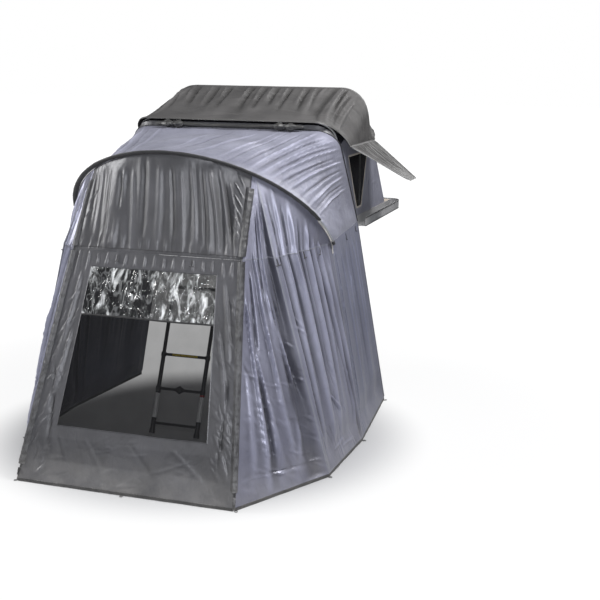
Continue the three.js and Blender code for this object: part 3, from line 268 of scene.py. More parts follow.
def cloth_finish(name, colour, light, rough, facet=0.06, relief=0.5, sheen=0.05, metallic=0.0, shine=0.4):
    """Coated cloth: slow changes of tone, crumples, woven threads, a little dust and painted shade
    along the crumples' creases. The Fold attribute holds each fold's height in millimetres: valleys
    get painted shade and ridges a painted highlight."""
    made = Finish(name, Roughness=rough, Metallic=metallic, Sheen_Weight=sheen, Sheen_Roughness=0.4,
                  Specular_IOR_Level=shine)
    folds = made.effect(crumple, Place=made.place, Size=facet)
    threads = made.effect(weave, Place=made.flat(), Threads=2600.0, Rip=170.0)
    tone = made.shades(folds["Tone"], (0.32, colour), (0.68, light))
    # Painted shade: the colour is a little darker along the crumples' creases.
    tone = made.blend(1.0, tone, made.ramp(folds["Crease"], 0.93, 1.0), "MULTIPLY")
    depth = made.node("Attribute", {"attribute_name": "Fold"}).outputs["Fac"]
    # Painted shade in fold valleys and painted highlight on fold ridges, read from the Fold attribute.
    tone = made.blend(1.0, tone, made.ramp(depth, 0.4, 1.4, -22.0, 22.0, soft=True), "MULTIPLY")
    tone = made.blend(made.ramp(threads["Rips"], 0.0, 0.1), tone, (0.6, 0.6, 0.62, 1), "MULTIPLY")
    made.set(Base_Color=made.effect(dust, Place=made.place, Color=tone, Amount=0.3)["Color"],
             Roughness=made.ramp(folds["Tone"], rough - 0.07, rough + 0.07))
    made.relief(threads["Height"], 0.12, 0.0006, Normal=made.relief(folds["Height"], relief, 0.012))
    return made.material


silver_cloth = cloth_finish("silver_cloth", (0.19, 0.192, 0.245), (0.26, 0.263, 0.33), 0.42, metallic=0.35)
cloth, seam, cloth_thick = 3.0, 0.4, 1.4
both_sides = (("right", 1), ("left", -1))
to_origin = np.array([0.0, 695.5, 0.0])
seam_z, hem_z, deck_half, deck_top = 1700.0, 25.0, 931.0, 1720.0
arch_half, arch_reach, arch_foot_y, arch_tilt = deck_half + 193, 1126.0, -1285.0, math.radians(42.5)
sleeve_radial, sleeve_deep = 21.0, 10.0
arch_up = np.array([0.0, -math.cos(arch_tilt), math.sin(arch_tilt)])
arch_normal = np.array([0.0, math.sin(arch_tilt), math.cos(arch_tilt)])


def point(x, y, z):
    return np.array([x, y, z], dtype=float)


def unit(v):
    return v / np.linalg.norm(v, axis=-1, keepdims=True)


def mix(a, b, share):
    share = np.asarray(share, dtype=float)[..., None]
    return np.asarray(a) * (1 - share) + np.asarray(b) * share


def smooth(x, low, high):
    t = np.clip((x - low) / (high - low), 0, 1)
    return t * t * (3 - 2 * t)


def flip(p):
    return np.asarray(p) * np.array([-1.0, 1, 1])


def inward_to(core_y, core_top):
    """Directions from points to an upright line inside the room or the tent."""
    def inward(p):
        core = np.zeros_like(p)
        core[..., 1], core[..., 2] = core_y, np.minimum(p[..., 2], core_top)
        return unit(core - p)
    return inward


in_room, in_tent = inward_to(-1200, seam_z), inward_to(250, deck_top)


def arch_out(angle):
    angle = np.asarray(angle, dtype=float)[..., None]
    return unit(np.array([1.0, 0, 0]) * np.cos(angle) / arch_half + arch_up * np.sin(angle) / arch_reach)


def arch_point(angle):
    angle = np.asarray(angle, dtype=float)[..., None]
    base = np.array([0, arch_foot_y, seam_z])
    return base + np.array([arch_half, 0, 0]) * np.cos(angle) + arch_reach * arch_up * np.sin(angle)


def arch_seam(angle):
    return arch_point(angle) - (sleeve_radial + 1.7) * arch_out(angle)


def bow_place(half, foot, top, radius, breaks=None):
    """Inverted U with straight legs and round shoulders: share 0 is the right foot, 1 the left."""
    (foot_y, foot_z), (top_y, top_z) = foot, top
    rise = point(0, top_y - foot_y, top_z - foot_z)
    height = np.linalg.norm(rise)
    rise = rise / height
    leg, bend, bar = height - radius, math.pi / 2 * radius, 2 * (half - radius)
    total = 2 * leg + 2 * bend + bar
    leg_end, bend_end = breaks or (leg / total, (leg + bend) / total)

    def place(share):
        share = np.asarray(share, dtype=float)
        side = np.where(share > 0.5, -1.0, 1.0)
        s = np.where(share > 0.5, 1 - share, share)
        turn = math.pi / 2 * np.clip((s - leg_end) / (bend_end - leg_end), 0, 1)
        x = np.where(s < leg_end, half, half - radius + radius * np.cos(turn))
        x = np.where(s > bend_end, (half - radius) * (1 - (s - bend_end) / (0.5 - bend_end)), x)
        h = np.where(s < leg_end, leg * s / leg_end, leg + radius * np.sin(turn))
        at = point(0, foot_y, foot_z) + (side * x)[..., None] * np.array([1.0, 0, 0]) + h[..., None] * rise
        out = (side * np.cos(turn))[..., None] * np.array([1.0, 0, 0]) + np.sin(turn)[..., None] * rise
        return at, unit(out)

    place.normal = point(0, rise[2], -rise[1])
    return place


join_half, join_foot, join_top = deck_half + 39, (0.0, 1690.0), (-700.0, 2555.0)
join_place = bow_place(join_half, join_foot, join_top, 200.0)


def noise(x, y, seed):
    """Smooth noise from -1 to 1 with one value for each unit step."""
    table = np.random.default_rng(seed).uniform(-1, 1, (64, 64))
    i, j = np.floor(x).astype(int), np.floor(y).astype(int)
    fx, fy = x - i, y - j
    fx, fy = fx * fx * (3 - 2 * fx), fy * fy * (3 - 2 * fy)
    a, b = table[i % 64, j % 64], table[(i + 1) % 64, j % 64]
    c, d = table[i % 64, (j + 1) % 64], table[(i + 1) % 64, (j + 1) % 64]
    return a * (1 - fx) * (1 - fy) + b * fx * (1 - fy) + c * (1 - fx) * fy + d * fx * fy


def crease(x, y, start, end, width, height, bow=0.0, spread=1.0):
    """A fold from start to end on a flat pattern: a ridge between two shallow valleys, sharp
    at its start and wider and lower at its end. bow bends it sideways by that share."""
    ax, ay = start
    dx, dy = end[0] - ax, end[1] - ay
    length = math.hypot(dx, dy)
    dx, dy = dx / length, dy / length
    t = ((x - ax) * dx + (y - ay) * dy) / length
    side = (x - ax) * -dy + (y - ay) * dx - bow * length * 4 * t * (1 - t)
    wide = width * (0.55 + spread * np.clip(t, 0, 1))
    d2 = (side / wide) ** 2
    fade = smooth(t, -0.04, 0.12) * (1 - smooth(t, 0.55, 1.05))
    return height * (1.25 * np.exp(-d2) - 0.45 * np.exp(-d2 / 4.5)) * fade


def scattered(x, y, seed, count, low, high, lean, length, width, height):
    """Many small creases inside a box of the pattern, all near one lean in degrees."""
    rng = np.random.default_rng(seed)
    total = np.zeros_like(x)
    for _ in range(count):
        cx, cy = rng.uniform(low[0], high[0]), rng.uniform(low[1], high[1])
        angle = math.radians(rng.normal(lean[0], lean[1]))
        half = rng.uniform(*length) / 2
        sx, sy = math.sin(angle) * half, math.cos(angle) * half
        tall = rng.uniform(*height) * rng.choice([1, 1, -0.8])
        near = (np.abs(x - cx) < 2 * half + 60) & (np.abs(y - cy) < 2 * half + 60)
        if near.any():
            total[near] += crease(x[near], y[near], (cx - sx, cy - sy), (cx + sx, cy + sy),
                                  rng.uniform(*width), tall, rng.uniform(-0.12, 0.12))
    return total


def drawn(x, y, rows):
    """Folds on a flat pattern. Each row is the start u, v and end u, v as shares of the pattern's
    size, then the fold's width and its height, below zero for a valley, in millimetres."""
    wide, tall = x.max(), y.max()
    total = np.zeros_like(x)
    for u0, v0, u1, v1, width, height in rows:
        total += crease(x, y, (u0 * wide, v0 * tall), (u1 * wide, v1 * tall), width, height, 0.02, 0.4)
    return total


def pattern(surface, columns, rows, span=(0, 1), drop=(0, 1)):
    """Grid of a surface with its shares and its own flat sizes in millimetres."""
    u, v = np.meshgrid(np.linspace(*span, columns), np.linspace(*drop, rows))
    p = surface(u, v)
    wide = np.linalg.norm(np.diff(p, axis=1), axis=2).sum(axis=1).mean()
    tall = np.linalg.norm(np.diff(p, axis=0), axis=2).sum(axis=0).mean()
    return u, v, p, u * wide / (span[1] - span[0]), v * tall / (drop[1] - drop[0])


def sheet_mesh(name, outer, inward, thickness, material, keep=None, fold=None):
    """Closed thin sheet on a grid of points in millimetres. keep marks the cells that stay, and fold
    goes into the Fold attribute, which the cloth finishes turn into painted shade and highlight.
    """
    rows, columns = outer.shape[:2]
    du, dv = np.gradient(outer, axis=1), np.gradient(outer, axis=0)
    normal = unit(np.cross(du, dv))
    sign = -np.sign((normal * inward).sum(axis=2).mean())
    inner = outer - sign * normal * thickness
    count = rows * columns
    points = np.concatenate([outer.reshape(-1, 3), inner.reshape(-1, 3)])
    keep = np.ones((rows - 1, columns - 1), bool) if keep is None else keep
    index = np.arange(count).reshape(rows, columns)
    a, b, c, d = index[:-1, :-1], index[:-1, 1:], index[1:, 1:], index[1:, :-1]
    front = np.stack([a, b, c, d], axis=-1)[keep]
    if sign < 0:
        front = front[:, ::-1]
    quads = [front, front[:, ::-1] + count]
    padded = np.zeros((rows + 1, columns + 1), bool)
    padded[1:-1, 1:-1] = keep
    for near, far, p, q in ((padded[:-2, 1:-1], keep, a, b), (padded[1:-1, 2:], keep, b, c),
                            (padded[2:, 1:-1], keep, c, d), (padded[1:-1, :-2], keep, d, a)):
        rim = far & ~near
        side = np.stack([q[rim], p[rim], p[rim] + count, q[rim] + count], axis=-1)
        quads.append(side if sign > 0 else side[:, ::-1])
    quads = np.concatenate(quads)
    used, quads = np.unique(quads, return_inverse=True)
    quads = quads.reshape(-1, 4)
    flat = np.zeros((rows, columns, 2))
    flat[:, 1:, 0] = np.cumsum(np.linalg.norm(np.diff(outer, axis=1), axis=2), axis=1) / 1000
    flat[1:, :, 1] = np.cumsum(np.linalg.norm(np.diff(outer, axis=0), axis=2), axis=0) / 1000
    flat = flat.reshape(-1, 2)
    flat = np.concatenate([flat, flat])[used]
    made = mesh_of(name, (points[used] + to_origin) / 1000, quads, material, flat)
    if fold is not None:
        mark = made.data.attributes.new("Fold", "FLOAT", "POINT")
        mark.data.foreach_set("value", np.concatenate([fold.ravel()] * 2)[used].astype(np.float32))
    return made


def mesh_of(name, points, faces, material, flat=None, smooth_angle=50):
    """Mesh object in metres at the origin, from points and faces of one size."""
    mesh = bpy.data.meshes.new(name)
    faces = np.asarray(faces)
    sides = faces.shape[1]
    mesh.vertices.add(len(points))
    mesh.vertices.foreach_set("co", np.asarray(points, dtype=np.float32).ravel())
    mesh.loops.add(faces.size)
    mesh.loops.foreach_set("vertex_index", faces.ravel().astype(np.int32))
    mesh.polygons.add(len(faces))
    mesh.polygons.foreach_set("loop_start", np.arange(0, faces.size, sides, dtype=np.int32))
    mesh.update(calc_edges=True)
    mesh.validate()
    mesh.polygons.foreach_set("use_smooth", np.ones(len(faces), bool))
    if flat is not None:
        layer = mesh.uv_layers.new(name="Cloth")
        layer.data.foreach_set("uv", flat[faces.ravel()].astype(np.float32).ravel())
    mesh.materials.append(material)
    mesh.set_sharp_from_angle(angle=math.radians(smooth_angle))
    made = bpy.data.objects.new(name, mesh)
    bpy.context.scene.collection.objects.link(made)
    return made


def ends(share, near, far=None):
    """Nothing at both ends of a share, and one away from them."""
    return smooth(share, 0, near) * smooth(1 - share, 0, far or near)


def piece(made, body, slot_name, *nodes):
    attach(made, body)
    if nodes:
        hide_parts(*nodes)
    return made


def roof_surface(u, v):
    p = mix(arch_seam(math.pi * u), join_place(u)[0], v)
    slant = np.cos(2 * math.pi * (5 * np.abs(u - 0.5) + 2 * v))
    return p + in_room(p) * ((22 + 5 * slant) * ends(u, 0.1) * ends(v, 0.16))[..., None]


u, v, p, x, y = pattern(roof_surface, 330, 130, (0.0003, 0.9997), (0.0006, 0.9994))
width, depth = x.max(), y.max()
folds = drawn(x, y, ((0.297, 0.97, 0.318, 0.02, 22, 14), (0.256, 0.97, 0.289, 0.02, 20, 15),
                     (0.231, 0.97, 0.262, 0.05, 18, 14), (0.193, 0.96, 0.21, 0.0, 24, 14),
                     (0.151, 0.94, 0.135, 0.1, 22, 12), (0.114, 0.92, 0.097, 0.1, 20, 11),
                     (0.21, 0.98, 0.236, 0.3, 14, 10), (0.323, 0.94, 0.341, 0.1, 20, -12),
                     (0.274, 0.94, 0.303, 0.05, 18, -13), (0.243, 0.94, 0.274, 0.05, 16, -12),
                     (0.212, 0.96, 0.235, 0.0, 18, -13), (0.172, 0.94, 0.17, 0.1, 20, -12),
                     (0.131, 0.9, 0.117, 0.15, 18, -11), (0.423, 0.9, 0.465, 0.05, 26, 8),
                     (0.481, 0.92, 0.5, 0.1, 24, -8), (0.52, 0.85, 0.53, 0.1, 24, 6),
                     (0.38, 0.94, 0.4, 0.05, 22, 8), (0.355, 0.95, 0.372, 0.05, 18, -9),
                     (0.66, 0.97, 0.63, 0.05, 22, 9), (0.703, 0.97, 0.68, 0.02, 22, 11),
                     (0.744, 0.97, 0.711, 0.02, 20, 11), (0.769, 0.97, 0.738, 0.05, 18, 11),
                     (0.807, 0.96, 0.79, 0.0, 24, 12), (0.849, 0.94, 0.865, 0.1, 22, 11),
                     (0.69, 0.94, 0.66, 0.1, 18, -9), (0.727, 0.94, 0.695, 0.1, 18, -10),
                     (0.788, 0.96, 0.765, 0.0, 18, -11), (0.828, 0.94, 0.83, 0.1, 20, -11),
                     (0.886, 0.92, 0.903, 0.1, 20, 10),))
folds *= 1.4
folds += scattered(x, y, 11, 90, (0.05 * width, 0), (0.95 * width, depth), (12, 22), (120, 420), (8, 16),
                   (1.5, 4))
folds += 3 * noise(x / 110, y / 150, 3) + 1.1 * noise(x / 40, y / 60, 4)
folds *= ends(u, 0.012) * ends(v, 0.03)
roof = sheet_mesh("room_roof", p - in_room(p) * folds[..., None], in_room(p), cloth_thick, silver_cloth,
                  fold=folds)
piece(roof, "tent", "silver_cloth", "roof_panel")

# Walls of the room
# Dark grey front wall above the door's seam, and three silver panels on each side, cut from
# coated polyester and felled together. They hang from the sleeve and the deck, gathered at the
# top, and their skirts turn in above the ground.
grey_cloth = cloth_finish("grey_cloth", (0.055, 0.055, 0.0595), (0.0772, 0.0772, 0.085), 0.42, metallic=0.2)
door_angle, side_angle = math.radians(53), math.radians(51)
tuck_z, tuck_deep, zip_trim = 170, 24, 5.8
door_top, door_foot = point(700, -2250, seam_z), point(885, -2895, hem_z)
side_top = point(890, -2060, seam_z)
middle_foot, side_foot, rear_foot = (point(1335, -2030, hem_z), point(1365, -1150, hem_z),
                                     point(1265, 10, hem_z))
door_arch, foot_arch = arch_seam(door_angle), arch_seam(0.0)
join_low = join_place(0.0)[0]
break_share = (door_arch[2] - seam_z) / (door_arch[2] - hem_z)


def line(a, b):
    return lambda share: mix(a, b, share)


def door_line(v):
    v = np.asarray(v, dtype=float)
    upper = mix(door_arch, door_top, np.clip(v / break_share, 0, 1))
    lower = mix(door_top, door_foot, np.clip((v - break_share) / (1 - break_share), 0, 1))
    return np.where((v < break_share)[..., None], upper, lower)


foot_line, rear_line = line(foot_arch, side_foot), line(join_low, rear_foot)


def creased(top, middle, bottom):
    """Wall panel creased at the deck's height, between its top curve and its foot."""
    def surface(u, v):
        v = np.asarray(v, dtype=float)
        high = mix(top(u), middle(u), np.clip(v / break_share, 0, 1))
        low = mix(middle(u), bottom(u), np.clip((v - break_share) / (1 - break_share), 0, 1))
        return np.where((v < break_share)[..., None], high, low)
    return surface


def patch(top, bottom, left, right):
    """Surface between four edge curves; left and right run from the top edge down."""
    corners = [top(0.0), top(1.0), bottom(0.0), bottom(1.0)]

    def surface(u, v):
        corner = mix(mix(corners[0], corners[1], u), mix(corners[2], corners[3], u), v)
        return mix(top(u), bottom(u), v) + mix(left(v), right(v), u) - corner
    return surface


def width_at(surface, v):
    return np.linalg.norm(surface(np.zeros_like(v), v) - surface(np.ones_like(v), v), axis=-1)


def hung(surface, waves, phase, depth=15.0):
    """The panel's broad folds: none at its seams, deepest between them, with a tuck low down."""
    def hanging(u, v):
        p = surface(u, v)
        wave = np.cos(2 * math.pi * waves * u + phase) + np.cos(2 * math.pi * (waves + 1) * u)
        wave = wave * smooth(width_at(surface, np.asarray(v, dtype=float)), 0, 500)
        tuck = np.maximum(0, 1 - np.abs(p[..., 2] - tuck_z) / tuck_z)
        push = (depth / 2 * wave * ends(v, 0.16, 0.1) - tuck_deep * tuck) * ends(u, 0.1)
        return p - in_room(p) * push[..., None]
    return hanging


front_surface = patch(lambda u: arch_seam(door_angle + (math.pi - 2 * door_angle) * u),
                      line(door_top, flip(door_top)), line(door_arch, door_top),
                      line(flip(door_arch), flip(door_top)))
door_surface = patch(line(door_top, flip(door_top)), line(door_foot, flip(door_foot)),
                     line(door_top, door_foot), line(flip(door_top), flip(door_foot)))
front_hung, door_hung = hung(front_surface, 4, 0), hung(door_surface, 2, 1, 7.5)
side_front_hung = hung(creased(lambda u: arch_seam(side_angle + (door_angle - side_angle) * u),
                               line(side_top, door_top), line(middle_foot, door_foot)), 1, 3)
side_middle_hung = hung(creased(lambda u: arch_seam(side_angle * u), line(foot_arch, side_top),
                                line(side_foot, middle_foot)), 2, 0)
side_rear_hung = hung(patch(line(join_low, foot_arch), line(rear_foot, side_foot), rear_line, foot_line),
                      2, 2)


def on_side(p, side):
    return np.asarray(p) if side > 0 else flip(p)


hung_grids = {}


def hang_panel(name, surface, columns, rows, trims, material, side, detail, **sheet):
    """One wall panel: its surface, less its trims in millimetres at the right, left, top and
    foot, with the folds that detail gives pushed outwards. Folds die out at the seams, and
    further from a zip, where the flap is stitched on."""
    whole = surface(np.array([0.5, 0.0, 1.0, 0.5]), np.array([0.5, 0.5, 0.5, 0.0]))
    wide = np.linalg.norm(whole[2] - whole[1])
    tall = 2 * np.linalg.norm(whole[3] - whole[0])
    span, drop = (trims[0] / wide, 1 - trims[1] / wide), (trims[2] / tall, 1 - trims[3] / tall)
    u, v, p, x, y = pattern(surface, columns, rows, span, drop)
    zones = [(24, 58) if trim > 1 else (0, 16) for trim in trims[:2]]
    held = smooth(x - x.min(), *zones[0]) * smooth(x.max() - x, *zones[1])
    fold = detail(u, v, x, y) * held * smooth(y - y.min(), 0, 14) * smooth(y.max() - y, 0, 26)
    outer = p - in_room(p) * fold[..., None]
    outer = on_side(outer, side)
    hung_grids[name] = (u[0], v[:, 0], outer)
    made = sheet_mesh(name, outer, in_room(outer), cloth_thick, material, fold=fold)
    return made


def pleats(x, y, places, top, reach, width, height, seed, fan=0.0):
    """Gathers that start on one line of the pattern and run down from it."""
    rng = np.random.default_rng(seed)
    total = np.zeros_like(x)
    for place in places:
        drift = fan * (place - np.mean(places)) + rng.uniform(-0.04, 0.04) * reach
        down = reach * rng.uniform(0.55, 1.0)
        total += crease(x, y, (place, top + rng.uniform(0, 25)), (place + drift, top + down),
                        width * rng.uniform(0.7, 1.3), height * rng.uniform(0.6, 1.2),
                        rng.uniform(-0.03, 0.03))
    return total


def front_folds(u, v, x, y):
    wide, tall = x.max(), y.max()
    long = drawn(x, y, ((0.335, 0.05, 0.268, 1.15, 30, 15), (0.231, 0.08, 0.118, 1.15, 25, 16),
                        (0.181, 0.06, 0.064, 1.15, 25, 17), (0.118, 0.15, 0.03, 0.85, 16, 11),
                        (0.602, 0.02, 0.606, 1.2, 46, -16), (0.753, 0.15, 0.748, 1.1, 32, -14),
                        (0.444, 0.1, 0.402, 1.1, 30, -11), (0.728, 0.12, 0.782, 1.2, 30, 12),
                        (0.911, 0.03, 0.899, 1.1, 32, 11), (0.96, 0.02, 0.945, 0.9, 22, -9),
                        (0.51, 0.1, 0.51, 1.15, 42, 12), (0.675, 0.15, 0.66, 1.1, 30, 12),
                        (0.277, 0.1, 0.205, 1.1, 26, -14), (0.143, 0.15, 0.05, 1.0, 18, -13),
                        (0.84, 0.1, 0.835, 1.1, 26, -9), (0.39, 0.15, 0.35, 1.1, 24, 7),
                        (0.085, 0.02, 0.014, 0.24, 9, 10), (0.09, 0.14, 0.014, 0.36, 9, 10),
                        (0.09, 0.26, 0.012, 0.48, 9, 10), (0.085, 0.38, 0.01, 0.6, 10, 9),
                        (0.08, 0.5, 0.008, 0.72, 10, 9), (0.08, 0.62, 0.004, 0.82, 10, 9),
                        (0.93, 0.3, 0.99, 0.5, 9, 6), (0.94, 0.5, 0.99, 0.66, 9, 6),))
    low = pleats(x, tall - y, np.linspace(0.04, 0.96, 19) * wide, 0, 170, 11, 6, 6)
    return long + low + 3.5 * noise(x / 85, y / 300, 8) + 1.0 * noise(x / 32, y / 90, 9)


front_wall = hang_panel("front_upper_cloth", front_hung, 250, 110, (zip_trim, zip_trim, seam, seam),
                        grey_cloth, 1, front_folds, rests_on=["arch_sleeve"])
piece(front_wall, "tent", "grey_cloth", "front_upper_wall")


def side_front_folds(seed):
    def detail(u, v, x, y):
        wide, tall = x.max(), y.max()
        long = drawn(x, y, ((0.9, 0.36, 0.62, 1.1, 20, 11), (0.84, 0.44, 0.52, 1.1, 17, -11),
                            (0.6, 0.36, 0.32, 1.05, 22, 11), (0.42, 0.3, 0.16, 1.0, 20, -12),
                            (0.74, 0.52, 0.46, 0.98, 14, 8), (0.67, 0.24, 0.46, 0.56, 28, 13),
                            (0.878, 0.4, 0.69, 0.68, 22, 12), (0.33, 0.46, 0.08, 0.88, 28, 15),
                            (0.51, 0.48, 0.41, 0.82, 24, 12), (0.878, 0.932, 0.139, 0.966, 13, 4),
                            (0.26, 0.38, 0.09, 0.92, 26, -14), (0.79, 0.3, 0.71, 0.62, 20, -12),
                            (0.97, 0.57, 0.78, 0.65, 13, -9), (0.67, 0.64, 0.6, 1.05, 22, -12),
                            (0.74, 0.936, 0.051, 0.953, 11, -4), (0.46, 0.1, 0.38, 0.6, 26, 12),
                            (0.27, 0.08, 0.2, 0.6, 26, 10), (0.58, 0.12, 0.5, 0.5, 20, -10),
                            (0.88, 0.6, 0.8, 1.0, 24, 10), (0.2, 0.6, 0.3, 1.0, 20, 8),))
        low = scattered(x, y, seed + 1, 60, (0, 0.55 * tall), (wide, tall), (-36, 16), (70, 240), (8, 16),
                        (3, 7))
        high = scattered(x, y, seed + 2, 16, (0, 0), (wide, 0.4 * tall), (14, 10), (60, 200), (8, 12),
                         (2, 4))
        wedge = (-46 * np.exp(-((u - 0.13) / 0.085) ** 2) * smooth(v, 0.03, 0.25)
                 * (1 - 0.55 * smooth(v, 0.7, 1.0)))
        return 1.8 * long + wedge + 1.2 * low + high + 2.5 * noise(x / 60, y / 160, seed + 3)
    return detail


def side_middle_folds(seed):
    def detail(u, v, x, y):
        wide, tall = x.max(), y.max()
        long = drawn(x, y, ((0.87, 0.02, 0.85, 0.95, 32, 14), (0.715, 0.04, 0.669, 0.98, 36, 17),
                            (0.49, 0.08, 0.465, 0.95, 36, 17), (0.25, 0.2, 0.139, 0.86, 32, 15),
                            (0.37, 0.18, 0.31, 0.85, 24, 10), (0.29, 0.3, 0.101, 0.95, 28, -15),
                            (0.185, 0.45, 0.01, 1.1, 28, -14), (0.6, 0.1, 0.56, 0.8, 26, -14),
                            (0.794, 0.06, 0.744, 0.8, 26, -14), (0.94, 0.06, 0.93, 1.0, 26, -14),
                            (0.42, 0.16, 0.37, 0.75, 20, -11), (0.58, 0.77, 0.4, 0.85, 18, 9),
                            (0.715, 0.955, 0.4, 0.945, 12, 4), (0.54, 0.965, 0.126, 0.975, 10, 4),
                            (0.66, 0.3, 0.63, 0.9, 18, 7), (0.12, 0.3, 0.06, 0.9, 22, 8),))
        rng = np.random.default_rng(seed)
        short = pleats(x, y, np.linspace(0.08, 0.96, 22) * wide + rng.uniform(-15, 15, 22), 0.22 * tall,
                       0.36 * tall, 11, 6, seed + 2, 0.1)
        cross = scattered(x, y, seed + 4, 44, (0, 0.5 * tall), (wide, tall), (-16, 18), (90, 300), (8, 16),
                          (2, 5))
        return 2.2 * long + 1.2 * short + 1.2 * cross + 3 * noise(x / 80, y / 330, seed + 5)
    return detail


def side_rear_folds(seed):
    def detail(u, v, x, y):
        wide, tall = x.max(), y.max()
        seamed = scattered(x, y, seed, 50, (0.88 * wide, 0), (wide, tall), (58, 14), (50, 130), (6, 11),
                           (3, 6))
        long = drawn(x, y, ((0.75, 0.05, 0.72, 0.9, 34, 9), (0.55, 0.03, 0.56, 0.8, 40, 9),
                            (0.34, 0.03, 0.36, 0.85, 38, 10), (0.14, 0.03, 0.18, 0.8, 32, 10),
                            (0.65, 0.05, 0.64, 0.8, 28, -9), (0.45, 0.05, 0.45, 0.9, 30, -8),
                            (0.24, 0.05, 0.27, 0.8, 28, -9), (0.93, 0.04, 0.95, 1.1, 26, -11),))
        fine = scattered(x, y, seed + 2, 40, (0, 0), (wide, tall), (10, 25), (80, 300), (8, 14), (1.5, 4))
        return seamed + 1.3 * long + fine + 2 * noise(x / 90, y / 240, seed + 3)
    return detail


# The room's side panels are the roof's silver cloth, drawn with darker copies of it as painted shade: the
# front and middle panels a little darker, the rear panels darker and bluer still.
rear_cloth = cloth_finish("rear_silver_cloth", (0.108, 0.113, 0.16), (0.145, 0.152, 0.21), 0.46,
                          metallic=0.25)
shaded_wall_cloth = cloth_finish("wall_silver_cloth", (0.15, 0.152, 0.2), (0.21, 0.213, 0.27), 0.4, metallic=0.35)
for side_name, side in both_sides:
    seed = 100 if side > 0 else 200
    for part, surface, columns, rows, trim, material, folds_of, hold in (
            ("front", side_front_hung, 70, 230, zip_trim, shaded_wall_cloth, side_front_folds(seed),
             "arch_sleeve"),
            ("middle", side_middle_hung, 190, 240, seam, shaded_wall_cloth, side_middle_folds(seed + 20),
             "arch_sleeve"),
            ("rear", side_rear_hung, 150, 190, seam, rear_cloth, side_rear_folds(seed + 40),
             "deck_front"),):
        panel = hang_panel(f"side_{part}_cloth_{side_name}", surface, columns, rows,
                           (seam, trim, seam, seam), material, side, folds_of, rests_on=[hold])
        piece(panel, "tent", "silver_cloth", f"side_{part}_{side_name}")


# Front door
# One dark grey panel that unzips at both sides, with a clear soft film above a fine dark net
# sewn into it. A narrow binding is stitched round the window.
window_half, window_top, window_split, window_low = 0.3675, 1585.0, 1232.0, 425.0
window_start, window_end = 0.5 - window_half, 0.5 + window_half
door_wide, door_tall = 2 * 790.0, 1795.0


def door_share(z):
    return (seam_z - z) / (seam_z - hem_z)


top_share, low_share, zip_share = door_share(window_top), door_share(window_low), zip_trim / door_wide
u_cells = np.concatenate([np.linspace(zip_share, window_start, 34)[:-1],
                          np.linspace(window_start, window_end, 150)[:-1],
                          np.linspace(window_end, 1 - zip_share, 34)])
v_cells = np.concatenate([np.linspace(0.0003, top_share, 18)[:-1],
                          np.linspace(top_share, low_share, 150)[:-1], np.linspace(low_share, 0.9998, 52)])
u, v = np.meshgrid(u_cells, v_cells)
p = door_hung(u, v)
x, y = u * door_wide, v * door_tall
fold = pleats(x, y, np.linspace(0.05, 0.95, 17) * door_wide, 0, 260, 12, 8, 31)
fold += drawn(x, y, (
    (0.09, 0.1, 0.05, 0.5, 24, 12), (0.11, 0.3, 0.04, 0.8, 24, 13), (0.05, 0.5, 0.1, 0.95, 22, -12),
    (0.1, 0.72, 0.03, 0.92, 18, 11), (0.92, 0.1, 0.95, 0.5, 24, 12), (0.9, 0.35, 0.96, 0.8, 24, 12),
    (0.95, 0.5, 0.89, 0.95, 22, -11), (0.3, 0.8, 0.1, 0.97, 26, 4), (0.5, 0.8, 0.34, 0.98, 26, -3),
    (0.72, 0.8, 0.6, 0.98, 24, 3), (0.86, 0.8, 0.8, 0.97, 22, -4), (0.2, 0.84, 0.5, 0.95, 20, 3),
))
fold += scattered(x, y, 32, 46, (0, 300), (0.13 * door_wide, door_tall), (-28, 14), (60, 220), (8, 14),
                  (3, 7))
fold += scattered(x, y, 33, 46, (0.87 * door_wide, 300), (door_wide, door_tall), (24, 14), (60, 220),
                  (8, 14), (3, 6))
fold += scattered(x, y, 34, 30, (0.1 * door_wide, 1380), (0.9 * door_wide, 1780), (70, 22), (80, 260),
                  (9, 16), (1, 2.5))
fold = 1.2 * fold + 2.5 * noise(x / 90, y / 150, 35)
outside = np.maximum(np.abs(u - 0.5) - window_half, 0) * door_wide
outside = np.maximum(outside, np.maximum(v - low_share, top_share - v) * door_tall)
fold *= smooth(outside, 0, 45) * smooth(u, 0.015, 0.038) * smooth(1 - u, 0.015, 0.038) * ends(v, 0.01, 0.02)
um, vm = (u[:-1, :-1] + u[1:, 1:]) / 2, (v[:-1, :-1] + v[1:, 1:]) / 2
open_cells = (np.abs(um - 0.5) < window_half) & (vm > top_share) & (vm < low_share)
door_points = p - in_room(p) * fold[..., None]
hung_grids["door_cloth"] = (u_cells, v_cells, door_points)
door = sheet_mesh("door_cloth", door_points, in_room(door_points), cloth_thick, grey_cloth, keep=~open_cells,
                  fold=fold)
piece(door, "front_door", "grey_cloth", "front_door")

# The film's colour is painted reflection: streaks from near black to pale grey stand for the room and the
# lamps seen in it, and its creases are paler, a painted highlight. Its alpha rises with the same streaks.
film = Finish("clear_film", Roughness=0.1, IOR=1.5, Specular_IOR_Level=0.8)
film_bands = film.node("TexNoise", Vector=film.scaled(film.place, (1.0, 1.0, 0.24)), Scale=11.0, Detail=6.0,
                       Roughness=0.66, Distortion=0.8).outputs["Fac"]
film_folds = film.effect(crumple, Place=film.place, Size=0.05, Stretch=0.5)
film_painted_glints = film.shades(film_bands, (0.49, (0.012, 0.012, 0.012)), (0.56, (0.09, 0.092, 0.09)),
                         (0.68, (0.75, 0.76, 0.76)))
film_painted_reflection = film.blend(film.ramp(film_folds["Crease"], 0.22, 0.0), film_painted_glints, (0.55, 0.56, 0.56, 1))
film.set(Alpha=film.ramp(film_bands, 0.62, 0.94, 0.3, 0.7), Base_Color=film_painted_reflection)
film.relief(film_folds["Height"], 1.0, 0.02)

